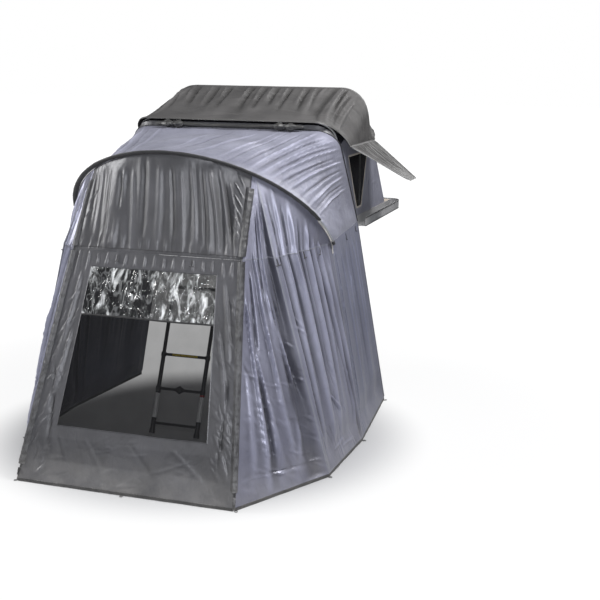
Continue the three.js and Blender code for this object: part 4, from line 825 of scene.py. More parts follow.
net = Finish("window_net", Roughness=0.8, Specular_IOR_Level=0.1)
net_threads = net.effect(weave, Place=net.flat(), Threads=3000.0, Rip=600.0)
net_colour = net.blend(net_threads["Rips"], (0.006, 0.006, 0.0065, 1), (0.016, 0.016, 0.017, 1))
net.set(Alpha=net.ramp(net.grain(5.0, 4.0), 0.36, 0.46), Base_Color=net_colour)
net.relief(net_threads["Height"], 0.2, 0.0004)


def film_fold(x, y):
    box = (x.min(), y.min()), (x.max(), y.max())
    waves = 5 * noise(x / 60, y / 110, 41) + 3 * noise(x / 28, y / 40, 42)
    return waves + scattered(x, y, 43, 90, *box, (10, 40), (50, 200), (6, 13), (2, 5))


def net_fold(x, y):
    return 4 * np.sin(x / 46 + 2.5 * noise(x / 200, y / 500, 44)) + 2 * noise(x / 60, y / 300, 45)


pane_gap, pane_thick = 0.6 / 1160, 0.6
for name, node_name, high, low, rows, fold_of, material, slot_name in (
        ("window_film_pane", "window_film", window_top, window_split, 90, film_fold, film.material,
         "clear_film"),
        ("window_net_pane", "window_mesh", window_split, window_low, 60, net_fold, net.material,
         "window_net"),):
    u, v = np.meshgrid(np.linspace(window_start + pane_gap, window_end - pane_gap, 200),
                       np.linspace(door_share(high) + pane_gap, door_share(low) - pane_gap, rows))
    p = door_hung(u, v)
    edge = smooth(u, u.min(), u.min() + 0.03) * smooth(-u, -u.max(), -u.max() + 0.03)
    edge *= smooth(v, v.min(), v.min() + 0.02) * smooth(-v, -v.max(), -v.max() + 0.02)
    fold = fold_of(u * door_wide, v * door_tall) * edge * 0.8
    outer = p - in_room(p) * fold[..., None]
    pane = sheet_mesh(name, outer, in_room(outer), pane_thick, material)
    piece(pane, "front_door", slot_name, node_name)


def sweep(name, at, a, b, outline, material, loop=False, scale=None):
    """Closed body of one outline moved along points at, across a and b, all in millimetres.
    Its flat pattern runs along the sweep and round the outline."""
    at, outline = np.asarray(at, float), np.asarray(outline, float)
    a, b = np.broadcast_to(a, at.shape), np.broadcast_to(b, at.shape)
    if outline.ndim == 2:
        outline = np.repeat(outline[None], len(at), axis=0)
    if scale is not None:
        outline = outline * np.asarray(scale, float)[:, None, None]
    count, ring = len(at), outline.shape[1]
    points = (at[:, None] + outline[..., :1] * a[:, None] + outline[..., 1:] * b[:, None]).reshape(-1, 3)
    step, turn = np.meshgrid(np.arange(count if loop else count - 1), np.arange(ring), indexing="ij")
    first, second, after = step * ring, ((step + 1) % count) * ring, (turn + 1) % ring
    quads = np.stack([first + turn, first + after, second + after, second + turn], axis=-1).reshape(-1, 4)
    faces = quads.tolist()
    if not loop:
        faces += [list(range(ring - 1, -1, -1)), list(range((count - 1) * ring, count * ring))]
    p0, p1, p2, p3 = (points[quads[:, k]] for k in range(4))
    volume = (p0 * np.cross(p1, p2)).sum() + (p0 * np.cross(p2, p3)).sum()
    for cap in [] if loop else faces[-2:]:
        c = points[cap]
        volume += sum(c[0] @ np.cross(c[k], c[k + 1]) for k in range(1, len(cap) - 1))
    if volume < 0:
        faces = [face[::-1] for face in faces]
    mesh = bpy.data.meshes.new(name)
    mesh.from_pydata(((points + to_origin) / 1000).tolist(), [], faces)
    run = length_along(at) / 1000
    girth = length_along(outline[0]) / 1000
    layer = mesh.uv_layers.new(name="Cloth")
    used = np.empty(len(mesh.loops), dtype=np.int32)
    mesh.loops.foreach_get("vertex_index", used)
    layer.data.foreach_set("uv", np.stack([run[used // ring], girth[used % ring]],
                                          -1).astype(np.float32).ravel())
    mesh.polygons.foreach_set("use_smooth", np.ones(len(mesh.polygons), bool))
    mesh.materials.append(material)
    mesh.set_sharp_from_angle(angle=math.radians(40))
    made = bpy.data.objects.new(name, mesh)
    bpy.context.scene.collection.objects.link(made)
    return made


def length_along(path):
    """Length from the start of a path to each of its points."""
    return np.concatenate([[0], np.cumsum(np.linalg.norm(np.diff(path, axis=0), axis=1))])


def box_outline(a0, a1, b0, b1, soft=0.3):
    """Rectangle with small cut corners, so that its edges catch the light."""
    return np.array([(a0 + soft, b0), (a1 - soft, b0), (a1, b0 + soft), (a1, b1 - soft), (a1 - soft, b1),
                     (a0 + soft, b1), (a0, b1 - soft), (a0, b0 + soft)])


def circle(count):
    return np.linspace(0, 2 * math.pi, count, endpoint=False)


def oval(a, b, count):
    return np.stack([a * np.cos(circle(count)), b * np.sin(circle(count))], -1)


def tape(name, path, outward, half, thick, material, lift=0.2, wander=0.0, seed=1):
    """Flat strip stitched on along a path: its faces look along outward. wander lets it lie a
    little off its line, as sewn tape does."""
    moved = np.linalg.norm(np.diff(path, axis=0, prepend=path[:1] - 1), axis=-1) > 0.01
    path, outward = path[moved], outward[moved]
    tangent = unit(np.gradient(path, axis=0))
    out = unit(outward - (outward * tangent).sum(-1, keepdims=True) * tangent)
    if wander:
        s = np.arange(len(path))
        path = path + out * (wander * noise(s / 3.0, s * 0 + 0.5, seed))[:, None]
    crown = lift + thick * 1.3
    outline = [(-half, lift), (-half + 0.6, lift + thick), (-half * 0.3, crown), (half * 0.3, crown),
               (half - 0.6, lift + thick), (half, lift), (half * 0.5, 0), (-half * 0.5, 0)]
    return sweep(name, path, np.cross(out, tangent), out, outline, material)


def webbing_finish(name, colour, light):
    """Woven tape: ribs across it, with fuzz at a small scale."""
    made = Finish(name, Roughness=0.8, Sheen_Weight=0.06, Sheen_Roughness=0.6)
    threads = made.effect(weave, Place=made.flat(), Threads=3600.0, Rip=420.0)
    fuzz = made.grain(320.0, 4.0)
    worn = made.ramp(made.math("MULTIPLY", fuzz, made.grain(11.0, 5.0)), 0.0, 1.0, 0.1, 0.42)
    tone = made.blend(worn, (*colour, 1), (*light, 1))
    made.set(Base_Color=made.effect(dust, Place=made.place, Color=tone, Amount=0.25)["Color"])
    made.relief(made.math("ADD", threads["Height"], fuzz), 0.5, 0.0009)
    return made.material


dark_webbing = webbing_finish("dark_webbing", (0.006, 0.006, 0.007), (0.016, 0.016, 0.018))
pale_webbing = webbing_finish("pale_webbing", (0.36, 0.34, 0.31), (0.55, 0.53, 0.5))

# The window's binding, and a dark seam between the film and the net.
for row_name, z, half, material in (("top", window_top, 5, grey_cloth),
                                    ("middle", window_split, 7, dark_webbing),
                                    ("foot", window_low, 5, grey_cloth)):
    shares = np.linspace(window_start, window_end, 90)
    path = door_hung(shares, np.full_like(shares, door_share(z)))
    binding = tape(f"window_binding_{row_name}", path, -in_room(path), half, 1.0, material, lift=0.5)
    piece(binding, "front_door", "dark_webbing")
for side_name, share in (("right", window_start), ("left", window_end)):
    shares = np.linspace(top_share, low_share, 90)
    path = door_hung(np.full_like(shares, share), shares)
    binding = tape(f"window_binding_{side_name}", path, -in_room(path), 5, 1.0, grey_cloth, lift=0.5)
    piece(binding, "front_door", "grey_cloth")

# Zips beside the door
# A coil zip runs down each edge of the door from the arch to the hem, under a flap of doubled
# cloth. The flap is cut at the deck seam, and the coil slider hangs below it near the ground.
cover_cloth = cloth_finish("cover_cloth", (0.027, 0.027, 0.0295), (0.049, 0.049, 0.053), 0.5, facet=0.03,
                           relief=0.7)
cover_half, cover_rise, cover_thick, cover_gap = 32.0, 13.0, 2.5, 1.4
cover_shoulder, cover_fall = 15.0, 2.0
zip_drop = door_arch[2] - hem_z
hinge_share, cover_end = 26.0 / zip_drop, (door_arch[2] - 130.0) / zip_drop


def level_out(p):
    """Level directions away from the room."""
    out = -in_room(p)
    out[..., 2] = 0
    return unit(out)


def zip_cover(name, side, start, end, rows, body, node_name, seed):
    """Flap of doubled cloth over the zip: flat along both stitched edges, raised over the
    slider between them, and puckered by the stitching."""
    share = np.linspace(start, end, rows)
    centre = on_side(door_line(share), side)
    out = level_out(centre)
    upper = share < break_share
    own = np.where(upper, share / break_share, (share - break_share) / (1 - break_share))
    inner = []
    for face in (front_hung, door_hung):
        at = cover_half / width_at(face, own)
        inner.append(face(at if side > 0 else 1 - at, own))
    inner = np.where(upper[:, None], *inner)
    at = 1 - np.minimum(0.45, cover_half / width_at(side_front_hung, share))
    outer = on_side(side_front_hung(at, share), side)
    high = centre + out * (cover_rise + cover_thick)
    across = np.linspace(0, 1, 17)
    grid = []
    for u in across:
        near = inner if u < 0.5 else outer
        low = near + out * (cover_thick + cover_gap)
        sideways = near - centre
        sideways = unit(sideways - (sideways * out).sum(-1, keepdims=True) * out)
        shoulder = high + sideways * cover_shoulder - out * cover_fall
        away = abs(u - 0.5) * 4
        grid.append(mix(high, shoulder, away) if away < 1 else mix(shoulder, low, away - 1))
    uu, ss = np.meshgrid(across, share * 2000)
    pucker = 3.0 * noise(uu * 3 + 2, ss / 26, seed) * (0.4 + np.abs(uu - 0.5) * 2)
    pucker += 1.8 * noise(uu * 1.5, ss / 12, seed + 2) + 1.2 * noise(uu * 2, ss / 70, seed + 1)
    grid = np.stack(grid, axis=1) + out[:, None] * pucker[..., None]
    # The Fold attribute gets the pucker four and a half times over, so the cloth finish paints strong shade
    # in its dips and highlight on its bumps.
    made = sheet_mesh(name, grid, in_room(grid), 1.6, cover_cloth, fold=4.5 * pucker)
    piece(made, body, "dark_webbing", node_name)


for side_name, side in both_sides:
    zip_cover(f"zip_flap_upper_{side_name}", side, 0.04, break_share - hinge_share, 90, "tent",
              f"zip_cover_upper_{side_name}", 51)
    zip_cover(f"zip_flap_lower_{side_name}", side, break_share + hinge_share / 3, cover_end, 200,
              "front_door", f"zip_cover_lower_{side_name}", 55)
for side_name, side in both_sides:
    path = on_side(door_line(np.linspace(0.002, 0.9985, 160)), side)
    path = np.concatenate([path, [path[-1] + (path[-1] - path[-2]) * 1.25]])
    piece(tape(f"zip_tape_{side_name}", path, -in_room(path), 11, 0.8, dark_webbing, lift=-4.2), "tent",
          "dark_webbing")

coil = Finish("zip_coil", Roughness=0.45)
coil_teeth = coil.node("TexWave", {"bands_direction": "Z"}, Vector=coil.place, Scale=110.0, Distortion=0.4)
coil_teeth = coil_teeth.outputs["Fac"]
coil.set(Base_Color=coil.blend(coil_teeth, (0.008, 0.008, 0.009, 1), (0.05, 0.05, 0.055, 1)))
coil.relief(coil_teeth, 0.8, 0.001)


def refinish(finish, *node_names):
    """A better material in every slot of CAD nodes that keep their shape."""
    for node_name in node_names:
        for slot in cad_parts[node_name].material_slots:
            slot.material = finish


def cast_finish(name, colour, light, rough, metallic, grain=900.0, relief=0.12, wear=0.35):
    """Cast, moulded or drawn surface: fine grain, handling marks and slight wear."""
    made = Finish(name, Roughness=rough, Metallic=metallic)
    marks = made.grain(38.0, 8.0, Roughness=0.7)
    tone = made.blend(made.ramp(marks, 0.0, 1.0, 0.35, 0.75), (*colour, 1), (*light, 1))
    made.set(Base_Color=made.effect(dust, Place=made.place, Color=tone, Amount=0.2)["Color"],
             Roughness=made.ramp(marks, rough - wear / 3, rough + wear / 3))
    made.relief(made.grain(grain, 3.0), relief, 0.0005)
    return made.material


slider_metal = cast_finish("slider_metal", (0.02, 0.02, 0.022), (0.06, 0.06, 0.065), 0.35, 0.8)
refinish(coil.material, "zip_coil_right", "zip_coil_left")
refinish(slider_metal, "zip_slider_right", "zip_slider_left")

# Arch pole in its sleeve
# An alloy pole runs in a padded black sleeve over the front of the room. Its bare ends stand in
# moulded cups, and a pale webbing strap ties each cup to the side seam.
bare_alloy = cast_finish("bare_alloy", (0.62, 0.63, 0.64), (0.78, 0.79, 0.8), 0.32, 1.0, grain=420.0,
                         relief=0.08)
black_plastic = cast_finish("black_plastic", (0.014, 0.014, 0.015), (0.035, 0.035, 0.037), 0.5, 0.0)
sleeve_cloth = cloth_finish("sleeve_cloth", (0.0243, 0.0243, 0.0258), (0.0395, 0.0395, 0.0418), 0.5,
                            facet=0.03, relief=0.3)
sleeve_start, ring_count = math.radians(17), 28
angles = np.linspace(sleeve_start, math.pi - sleeve_start, 200)
sleeve_out = arch_out(angles)
ripple = 1 + 0.05 * noise(angles * 26, angles * 0, 61) + 0.03 * noise(angles * 60, angles * 0, 62)
around, along = np.meshgrid(np.arange(ring_count) / ring_count * 6, angles * 40)
swelling = 1 + 0.035 * noise(along, around, 63)
sleeve = sweep("pole_sleeve", arch_point(angles), sleeve_out, arch_normal,
               oval(sleeve_radial - 0.6, sleeve_deep - 0.4, ring_count)[None] * swelling[..., None],
               sleeve_cloth, scale=ripple * 0.98)
piece(sleeve, "tent", "dark_webbing", "arch_sleeve")
stitch = arch_point(angles) - sleeve_out * (sleeve_radial - 4) + arch_normal * 8.4
stitched = tape("sleeve_seam", stitch, np.broadcast_to(arch_normal, stitch.shape), 5, 0.8, dark_webbing,
                lift=0.4)
piece(stitched, "tent", "dark_webbing")
refinish(bare_alloy, "arch_pole")
refinish(black_plastic, "arch_foot_right", "arch_foot_left")

strap_inset = 9.2 + 4 + 0.4 + 1.25
for side_name, side in both_sides:
    angles = sleeve_start * np.array([0.98, 0.84, 0.7, 0.52, 0.35, 0.17, 0.0])
    at, a = arch_point(angles) - arch_out(angles) * strap_inset, arch_out(angles)
    at, a = np.concatenate([at, [at[-1] + arch_up * -8.8]]), np.concatenate([a, [a[-1]]])
    end = foot_line((foot_arch[2] - seam_z + 85) / (foot_arch[2] - hem_z))
    out = -in_room(end)
    way = np.array([0.35, 0.7, 1.0])
    at, a = (np.concatenate([at, mix(at[-1], end + out * 2.9, way)]),
             np.concatenate([a, unit(mix(a[-1], out, way))]))
    b = unit(mix(arch_normal, np.array([0.0, 1, 0]), np.linspace(0, 1, len(at))))
    strap = sweep(f"pole_strap_{side_name}", on_side(at, side), on_side(a, side), on_side(b, side),
                  box_outline(-1.0, 1.0, -9.5, 9.5), pale_webbing)
    piece(strap, "tent", "pale_webbing", f"foot_strap_{side_name}")

# Hems and peg loops
# Black webbing is sewn round the foot of the walls, with a loop at each corner that takes a
# ground peg. The hem of the door is a piece of its own.
upright = np.array([0.0, 0, 1])


def hem(name, corners, loops, body, node_name):
    corners = np.array(corners) * [1, 1, 0]
    path = []
    for first, last in zip(corners[:-1], corners[1:]):
        count = max(3, int(np.linalg.norm(last - first) / 40))
        path.append(mix(first, last, np.linspace(0, 1, count)[:-1]))
    path = np.concatenate(path + [corners[-1:]])
    out = level_out(path)
    run = length_along(path)
    wave = 1.6 * noise(run / 70, run * 0, 71) * smooth(run, 0, 40) * smooth(-run, -run[-1], 40 - run[-1])
    band = sweep(name, path + out * wave[:, None], out, upright,
                 [(-5.4, 0.4), (-1.2, 0.2), (-0.2, 1.6), (0, 8), (-0.7, 12), (0, 16), (-0.3, 23.4),
                  (-5.2, 24.4)], dark_webbing)
    for n, corner in enumerate(loops):
        away = level_out(corner)
        wide = np.array([-away[1], away[0], 0])
        turn = circle(28)[:, None]
        ring = (corner * [1, 1, 0] + away * (14 + 16 * np.cos(turn)) + wide * 10 * np.sin(turn)
                + upright * (3.2 + 1.2 * np.cos(turn)))
        tangent = unit(np.roll(ring, -1, 0) - np.roll(ring, 1, 0))
        peg_loop = sweep(f"{name}_loop_{n + 1}", ring, np.cross(tangent, upright), upright,
                         box_outline(-2.6, 2.6, -1.9, 1.9), black_plastic, loop=True)
        piece(peg_loop, body, "black_plastic")
    return piece(band, body, "dark_webbing", node_name)


hem_start = mix(door_foot, middle_foot, zip_trim / np.linalg.norm(middle_foot - door_foot))
door_hem_end = mix(door_foot, flip(door_foot), zip_trim / 1770)
side_corners = [hem_start, middle_foot, side_foot, rear_foot]
side_loops = [mix(hem_start, middle_foot, 0.012), middle_foot, side_foot, mix(rear_foot, side_foot, 0.018)]
for side_name, side in both_sides:
    hem(f"hem_tape_{side_name}", on_side(side_corners, side), on_side(side_loops, side), "tent",
        f"hem_{side_name}")
hem("hem_tape_front", [door_hem_end, flip(door_hem_end)], [mix(door_foot, flip(door_foot), 0.5)],
    "front_door", "hem_front")

# Felled seams and toggles
# Two rows of stitching in a doubled strip join the wall panels. Under the deck-height seam
# small black toggles hang on loops, to tie up a rolled wall.
seam_cloth = cloth_finish("seam_cloth", (0.15, 0.155, 0.185), (0.22, 0.225, 0.265), 0.45, facet=0.03,
                          relief=0.3, metallic=0.15)
for side_name, side in both_sides:
    for seam_name, surface, share_u in (("fore", side_middle_hung, 1.0), ("mid", side_middle_hung, 0.0),
                                        ("arch", side_rear_hung, 0.0)):
        shares = np.linspace(0.012, 0.992, 150)
        path = surface(np.full_like(shares, share_u), shares)
        strip = tape(f"felled_seam_{seam_name}_{side_name}", on_side(path, side),
                     on_side(-in_room(path), side), 7, 0.9, seam_cloth, lift=0.5, wander=0.5, seed=80 + side)
        piece(strip, "tent", "silver_cloth")


def toggle(name, panel, u, v, body):
    """A short turned bar on a webbing loop, hung against the folded cloth."""
    across, down_shares, grid = hung_grids[panel]
    row, column = np.abs(down_shares - v).argmin(), np.abs(across - u).argmin()
    at = grid[row, column]
    out = -in_room(at)
    down = unit(grid[min(row + 6, len(grid) - 1), column] - at)
    out = unit(out - (out @ down) * down)
    along = np.cross(out, down)
    t = np.linspace(0, 1, 9)[:, None]
    path = at + out * (1.8 + 3.0 * np.sin(math.pi * t)) + down * 50 * t
    loop = sweep(f"{name}_loop", path, along, out, box_outline(-4.5, 4.5, -1.0, 1.0), dark_webbing)
    run = np.linspace(-1, 1, 15)
    girth = 0.62 + 0.38 * np.abs(run) ** 0.7
    girth[0] = girth[-1] = 0.55
    bar = sweep(f"{name}_bar", path[-1] + out * 4.5 + along * (run * 21)[:, None], down, out, oval(5, 5, 14),
                black_plastic, scale=girth)
    piece(loop, body, "black_plastic")
    piece(bar, body, "black_plastic")
    return loop


toggle_share = break_share + 0.004
for side_name, side in both_sides:
    middle, rear = f"side_middle_cloth_{side_name}", f"side_rear_cloth_{side_name}"
    loop = toggle(f"toggle_middle_{side_name}", middle, 0.5, toggle_share, "tent")
    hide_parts(f"toggle_{side_name}")
    for n, (panel, share_u, share_v) in enumerate(((middle, 0.975, toggle_share),
                                                   (middle, 0.24, toggle_share), (rear, 0.12, 0.012),
                                                   (rear, 0.5, 0.012))):
        toggle(f"toggle_{n + 1}_{side_name}", panel, share_u, share_v, "tent")
    toggle(f"toggle_door_{side_name}", "door_cloth", 0.5 - side * 0.22, 0.012, "front_door")
    for part in ("front", "middle"):
        across, levels, grid = hung_grids[f"side_{part}_cloth_{side_name}"]
        path = grid[np.abs(levels - break_share).argmin()]
        strip = tape(f"deck_seam_{part}_{side_name}", path, -in_room(path), 5, 0.5, seam_cloth, lift=0.3)
        piece(strip, "tent", "silver_cloth")
path = hung_grids["front_upper_cloth"][2][-5]
piece(tape("deck_seam_upper_wall", path, -in_room(path), 5, 0.5, cover_cloth, lift=0.3), "tent",
      "grey_cloth")

# Front band of the tent
# A dark grey strip that the room's roof is zipped to, with a black piped edge. It runs from the
# deck up over the front hoop and down again.
ridge_top, band_half = deck_top + 1170.0, deck_half + 3.6
band_place = bow_place(band_half, (60.0, 1690.0), (-692.0, join_top[1] + 45), 185.0)


def band_surface(u, v):
    return mix(join_place(u)[0], band_place(u)[0], v)


u, v, p, x, y = pattern(band_surface, 420, 9, (0.0003, 0.9997), (0.006, 0.994))
fold = (1.1 * noise(x / 22, y / 60, 91) + 0.8 * noise(x / 60, y / 90, 92)) * ends(v, 0.3)
band = sheet_mesh("front_band_cloth", p - in_tent(p) * fold[..., None], in_tent(p), 1.6, grey_cloth,
                  fold=fold)
piece(band, "tent", "grey_cloth", "front_band")
at, out = join_place(np.linspace(0.001, 0.999, 260))
piping_cloth = cast_finish("piping", (0.012, 0.012, 0.013), (0.03, 0.03, 0.03), 0.45, 0.0)
piece(sweep("roof_piping", at + out * 4.2, out, join_place.normal, oval(4, 4, 10), piping_cloth), "tent",
      "black_plastic")

# Weather canopy
# Dark coated canvas over both hoops, long in front, with a rounded brow at each side. Short
# slanting creases hang from the ridge, and the hem is bound with doubled cloth.
canopy_cloth = cloth_finish("canopy_cloth", (0.0434, 0.042, 0.042), (0.063, 0.0609, 0.0609), 0.6, facet=0.09,
                            relief=0.3, sheen=0.0, shine=0.2)
canopy_half, canopy_hem = deck_half + 54, ridge_top - 490
canopy_front_z, canopy_rear_z = ridge_top - 260, ridge_top - 410
ridge_front, ridge_rear, canopy_breaks = 0.6, 0.66, (0.14, 0.34)
ridge_y, ridge_deep = 225, 50
fore_low, fore_high, aft_low, aft_high = -330, -735, 510, 640


def over_ridge(w, fore, crest, crest_end, aft):
    """A value that runs from the front hem over the flat ridge to the rear hem."""
    front = fore + (crest - fore) * w / ridge_front
    level = crest + (crest_end - crest) * (w - ridge_front) / (ridge_rear - ridge_front)
    rear = crest_end + (aft - crest_end) * (w - ridge_rear) / (1 - ridge_rear)
    return np.where(w < ridge_front, front, np.where(w < ridge_rear, level, rear))


def canopy_surface(u, w):
    u, w = np.broadcast_arrays(np.asarray(u, float), np.asarray(w, float))
    height = over_ridge(w, canopy_front_z, ridge_top, ridge_top, canopy_rear_z) - canopy_hem
    radius = np.minimum(260, height * 0.9)
    side = np.where(u > 0.5, -1.0, 1.0)
    s = np.where(u > 0.5, 1 - u, u)
    leg_end, bend_end = canopy_breaks
    turn = math.pi / 2 * np.clip((s - leg_end) / (bend_end - leg_end), 0, 1)
    flat_x = (canopy_half - radius) * (1 - (s - bend_end) / (0.5 - bend_end))
    round_x = canopy_half - radius + radius * np.cos(turn)
    px = np.where(s < leg_end, canopy_half, np.where(s > bend_end, flat_x, round_x))
    leg = height - radius
    lift_z = np.where(s < leg_end, leg * s / leg_end, leg + radius * np.sin(turn))
    lift = np.clip(lift_z / height, 0, 1)
    py = over_ridge(w, fore_low + (fore_high - fore_low) * lift, ridge_y, ridge_y + ridge_deep,
                    aft_low + (aft_high - aft_low) * lift)
    p = np.stack([side * px, py, canopy_hem + lift_z], -1)
    away_ridge = np.maximum(0, np.maximum(ridge_front - w, w - ridge_rear))
    away = smooth(w, 0, 0.1) * smooth(away_ridge, 0, 0.16) * smooth(lift, 0, 0.5)
    fold = np.cos(2 * math.pi * (6 * np.abs(u - 0.5) + w)) * lift
    return p + in_tent(p) * (7 * (1 + fold) * away)[..., None]


u, v, p, x, y = pattern(canopy_surface, 320, 150, (0.0, 1.0), (0.0, 1.0))
wide, deep = x.max(), y.max()
rng = np.random.default_rng(95)
crease_shares = (0.3, 0.377, 0.402, 0.439, 0.469, 0.494, 0.523, 0.573, 0.602, 0.644, 0.68, 0.705)
fold = drawn(x, y, [row for start in crease_shares
                    for row in ((start, 0.585, start - 0.02, rng.uniform(0.1, 0.25), 17, -15),
                                (start + 0.012, 0.585, start - 0.006, rng.uniform(0.2, 0.36), 13, 10))])
fold += drawn(x, y, (
    (0.345, 0.6, 0.325, -0.05, 34, -18), (0.32, 0.58, 0.285, 0.0, 28, 13), (0.372, 0.58, 0.36, 0.05, 26, 12),
    (0.24, 0.5, 0.22, -0.05, 28, 11), (0.27, 0.55, 0.25, -0.05, 24, -11), (0.66, 0.58, 0.68, -0.05, 28, 10),
    (0.76, 0.5, 0.78, -0.05, 28, 10), (0.73, 0.55, 0.75, -0.05, 24, -10), (0.5, 0.5, 0.5, -0.1, 60, -8),
))
for side_name, side in both_sides:
    for place in np.linspace(0.32, 0.95, 18):
        reach = rng.uniform(0.1, 0.2)
        a, b = (0.004, reach) if side > 0 else (0.996, 1 - reach)
        end = (b * wide, (place + rng.uniform(-0.03, 0.03)) * deep)
        fold += crease(x, y, (a * wide, place * deep), end, rng.uniform(9, 15), rng.uniform(4, 8), 0.02)
fold += scattered(x, y, 96, 50, (0.2 * wide, 0), (0.8 * wide, 0.58 * deep), (0, 60), (90, 360), (10, 24),
                  (1.0, 3.0))
fold += scattered(x, y, 97, 50, (0.2 * wide, 0.66 * deep), (0.8 * wide, deep), (0, 40), (90, 360), (10, 24),
                  (1.5, 4.0))
fold = 1.5 * fold + 2 * noise(x / 120, y / 90, 98) + 0.9 * noise(x / 45, y / 45, 99)
rim = (ends(u, 0.012) * ends(v, 0.03)
       * (0.2 + 0.8 * smooth(np.maximum(ridge_front - v, v - ridge_rear), 0, 0.04)))
canopy_points = p - in_tent(p) * (fold * rim - 2.5)[..., None]
canopy_points[..., 2] = np.minimum(canopy_points[..., 2], ridge_top + 6)
canopy = sheet_mesh("canopy_cloth_top", canopy_points, in_tent(canopy_points), 1.6, canopy_cloth, fold=fold)
piece(canopy, "tent", "canopy_cloth", "canopy")
binding_cloth = cloth_finish("binding_cloth", (0.035, 0.034, 0.034), (0.06, 0.058, 0.057), 0.55, facet=0.03,
                             relief=0.3)
for edge_name, path, seed in (("front", canopy_points[0, ::2], 101), ("rear", canopy_points[-1, ::2], 101),
                              ("right", canopy_points[::2, 0], 103), ("left", canopy_points[::2, -1], 103)):
    piece(tape(f"canopy_binding_{edge_name}", path, -in_tent(path), 9, 1.4, binding_cloth, wander=0.6,
               seed=seed), "tent", "canopy_cloth")
stitch_row = 18
path = canopy_points[stitch_row, 60:300:2]
piece(tape("canopy_stitch_line", path, -in_tent(path), 4, 0.5, canopy_cloth), "tent", "canopy_cloth")

# Hoops, side walls and end walls of the tent
# Two alloy hoops stand on the deck. The tent's walls are silver cloth in the sides and rear and
# dark grey in front, where the doorway is. Each side has a leaning net window in a beige trim.
refinish(bare_alloy, "front_hoop", "ridge_hoop", "flap_bow_right", "flap_bow_left")
trim_webbing = webbing_finish("trim_webbing", (0.4, 0.36, 0.31), (0.55, 0.5, 0.44))
wall_x, wall_foot = deck_half - 1.0, deck_top + 0.4
front_top_z, rear_top_z = ridge_top - 330, ridge_top - 90
side_top_z, side_peak_z, side_rear_z = ridge_top - 490, ridge_top - 290, ridge_top - 450
front_foot_y, front_top_y, rear_foot_y, rear_top_y = -830, -682, 1200, 324


def front_wall_y(z):
    return (front_foot_y + (z - wall_foot) * (front_top_y - front_foot_y) / (front_top_z - wall_foot)
            + 2 * cloth)


def rear_wall_y(z):
    return rear_foot_y + (z - wall_foot) * (rear_top_y - rear_foot_y) / (rear_top_z - wall_foot) - 2 * cloth


side_outline = [(front_wall_y(wall_foot), wall_foot), (rear_wall_y(wall_foot), wall_foot),
                (rear_wall_y(side_rear_z), side_rear_z), (rear_wall_y(side_peak_z) - 150, side_peak_z),
                (80, side_peak_z), (-520, side_top_z), (front_wall_y(side_top_z - 200), side_top_z - 200)]
net_low, net_high = deck_top + 80, deck_top + 580
net_outline = [(110, net_low), (270, net_low), (450, net_high), (-200, net_high)]


def edges_of(outline):
    return zip(outline, outline[1:] + outline[:1])


def inside(outline, y, z):
    """True where a point is inside a closed outline."""
    held = np.zeros(y.shape, bool)
    for (y0, z0), (y1, z1) in edges_of(outline):
        cut = (z0 > z) != (z1 > z)
        with np.errstate(divide="ignore", invalid="ignore"):
            held ^= cut & (y < (y1 - y0) * (z - z0) / (z1 - z0) + y0)
    return held


def edge_distance(outline, y, z):
    near = np.full(y.shape, 1e9)
    for (y0, z0), (y1, z1) in edges_of(outline):
        dy, dz = y1 - y0, z1 - z0
        t = np.clip(((y - y0) * dy + (z - z0) * dz) / (dy * dy + dz * dz), 0, 1)
        near = np.minimum(near, np.hypot(y - y0 - t * dy, z - z0 - t * dz))
    return near


def flat_cloth(name, outline, hole, place, out, detail, material, thickness, step=12.0):
    """Flat panel cut to an outline with straight edges: a triangulated sheet with its folds
    pushed along its outward direction. place turns pattern places into points."""
    loops = [outline, hole] if hole else [outline]

    def on_cloth(y, z):
        held = inside(outline, y, z)
        return held & ~inside(hole, y, z) if hole else held

    def from_edge(y, z):
        return np.min([edge_distance(loop, y, z) for loop in loops], axis=0)

    flat, border = [], []
    for loop in loops:
        start = len(flat)
        for a, b in edges_of(loop):
            count = max(1, int(math.dist(a, b) / step))
            flat += [(a[0] + (b[0] - a[0]) * k / count, a[1] + (b[1] - a[1]) * k / count)
                     for k in range(count)]
        border += edges_of(list(range(start, len(flat))))
    (low_y, low_z), (high_y, high_z) = np.min(outline, axis=0), np.max(outline, axis=0)
    gy, gz = np.meshgrid(np.arange(low_y + step, high_y, step), np.arange(low_z + step, high_z, step))
    gy = gy + (np.arange(gy.shape[0]) % 2)[:, None] * step / 2
    good = on_cloth(gy, gz) & (from_edge(gy, gz) > 0.6 * step)
    flat += list(zip(gy[good].tolist(), gz[good].tolist()))
    points, _, faces, *_ = delaunay_2d_cdt([Vector(q) for q in flat], border, [], 0, 1e-4)
    points = np.array([tuple(q) for q in points])
    faces = np.array([list(f) for f in faces if len(f) == 3])
    faces = faces[on_cloth(*points[faces].mean(axis=1).T)]
    y, z = points.T
    top = place(y, z) + out * (detail(y, z) * smooth(from_edge(y, z), 0, 40))[:, None]
    a, b, c = (top[faces[:, k]] for k in range(3))
    if (np.cross(b - a, c - a) * out).sum() < 0:
        faces = faces[:, ::-1]
    count = len(points)
    pairs = dict.fromkeys((face[k], face[(k + 1) % 3]) for face in faces.tolist() for k in range(3))
    rim = [(p, q) for (p, q) in pairs if (q, p) not in pairs]
    rim_faces = [(q, p, p + count) for p, q in rim] + [(q, p + count, q + count) for p, q in rim]
    used, every = np.unique(np.concatenate([faces, faces[:, ::-1] + count, rim_faces]), return_inverse=True)
    both = np.concatenate([top, top - out * thickness])[used]
    flat = np.concatenate([points, points])[used] / 1000
    return mesh_of(name, (both + to_origin) / 1000, every.reshape(-1, 3), material, flat)


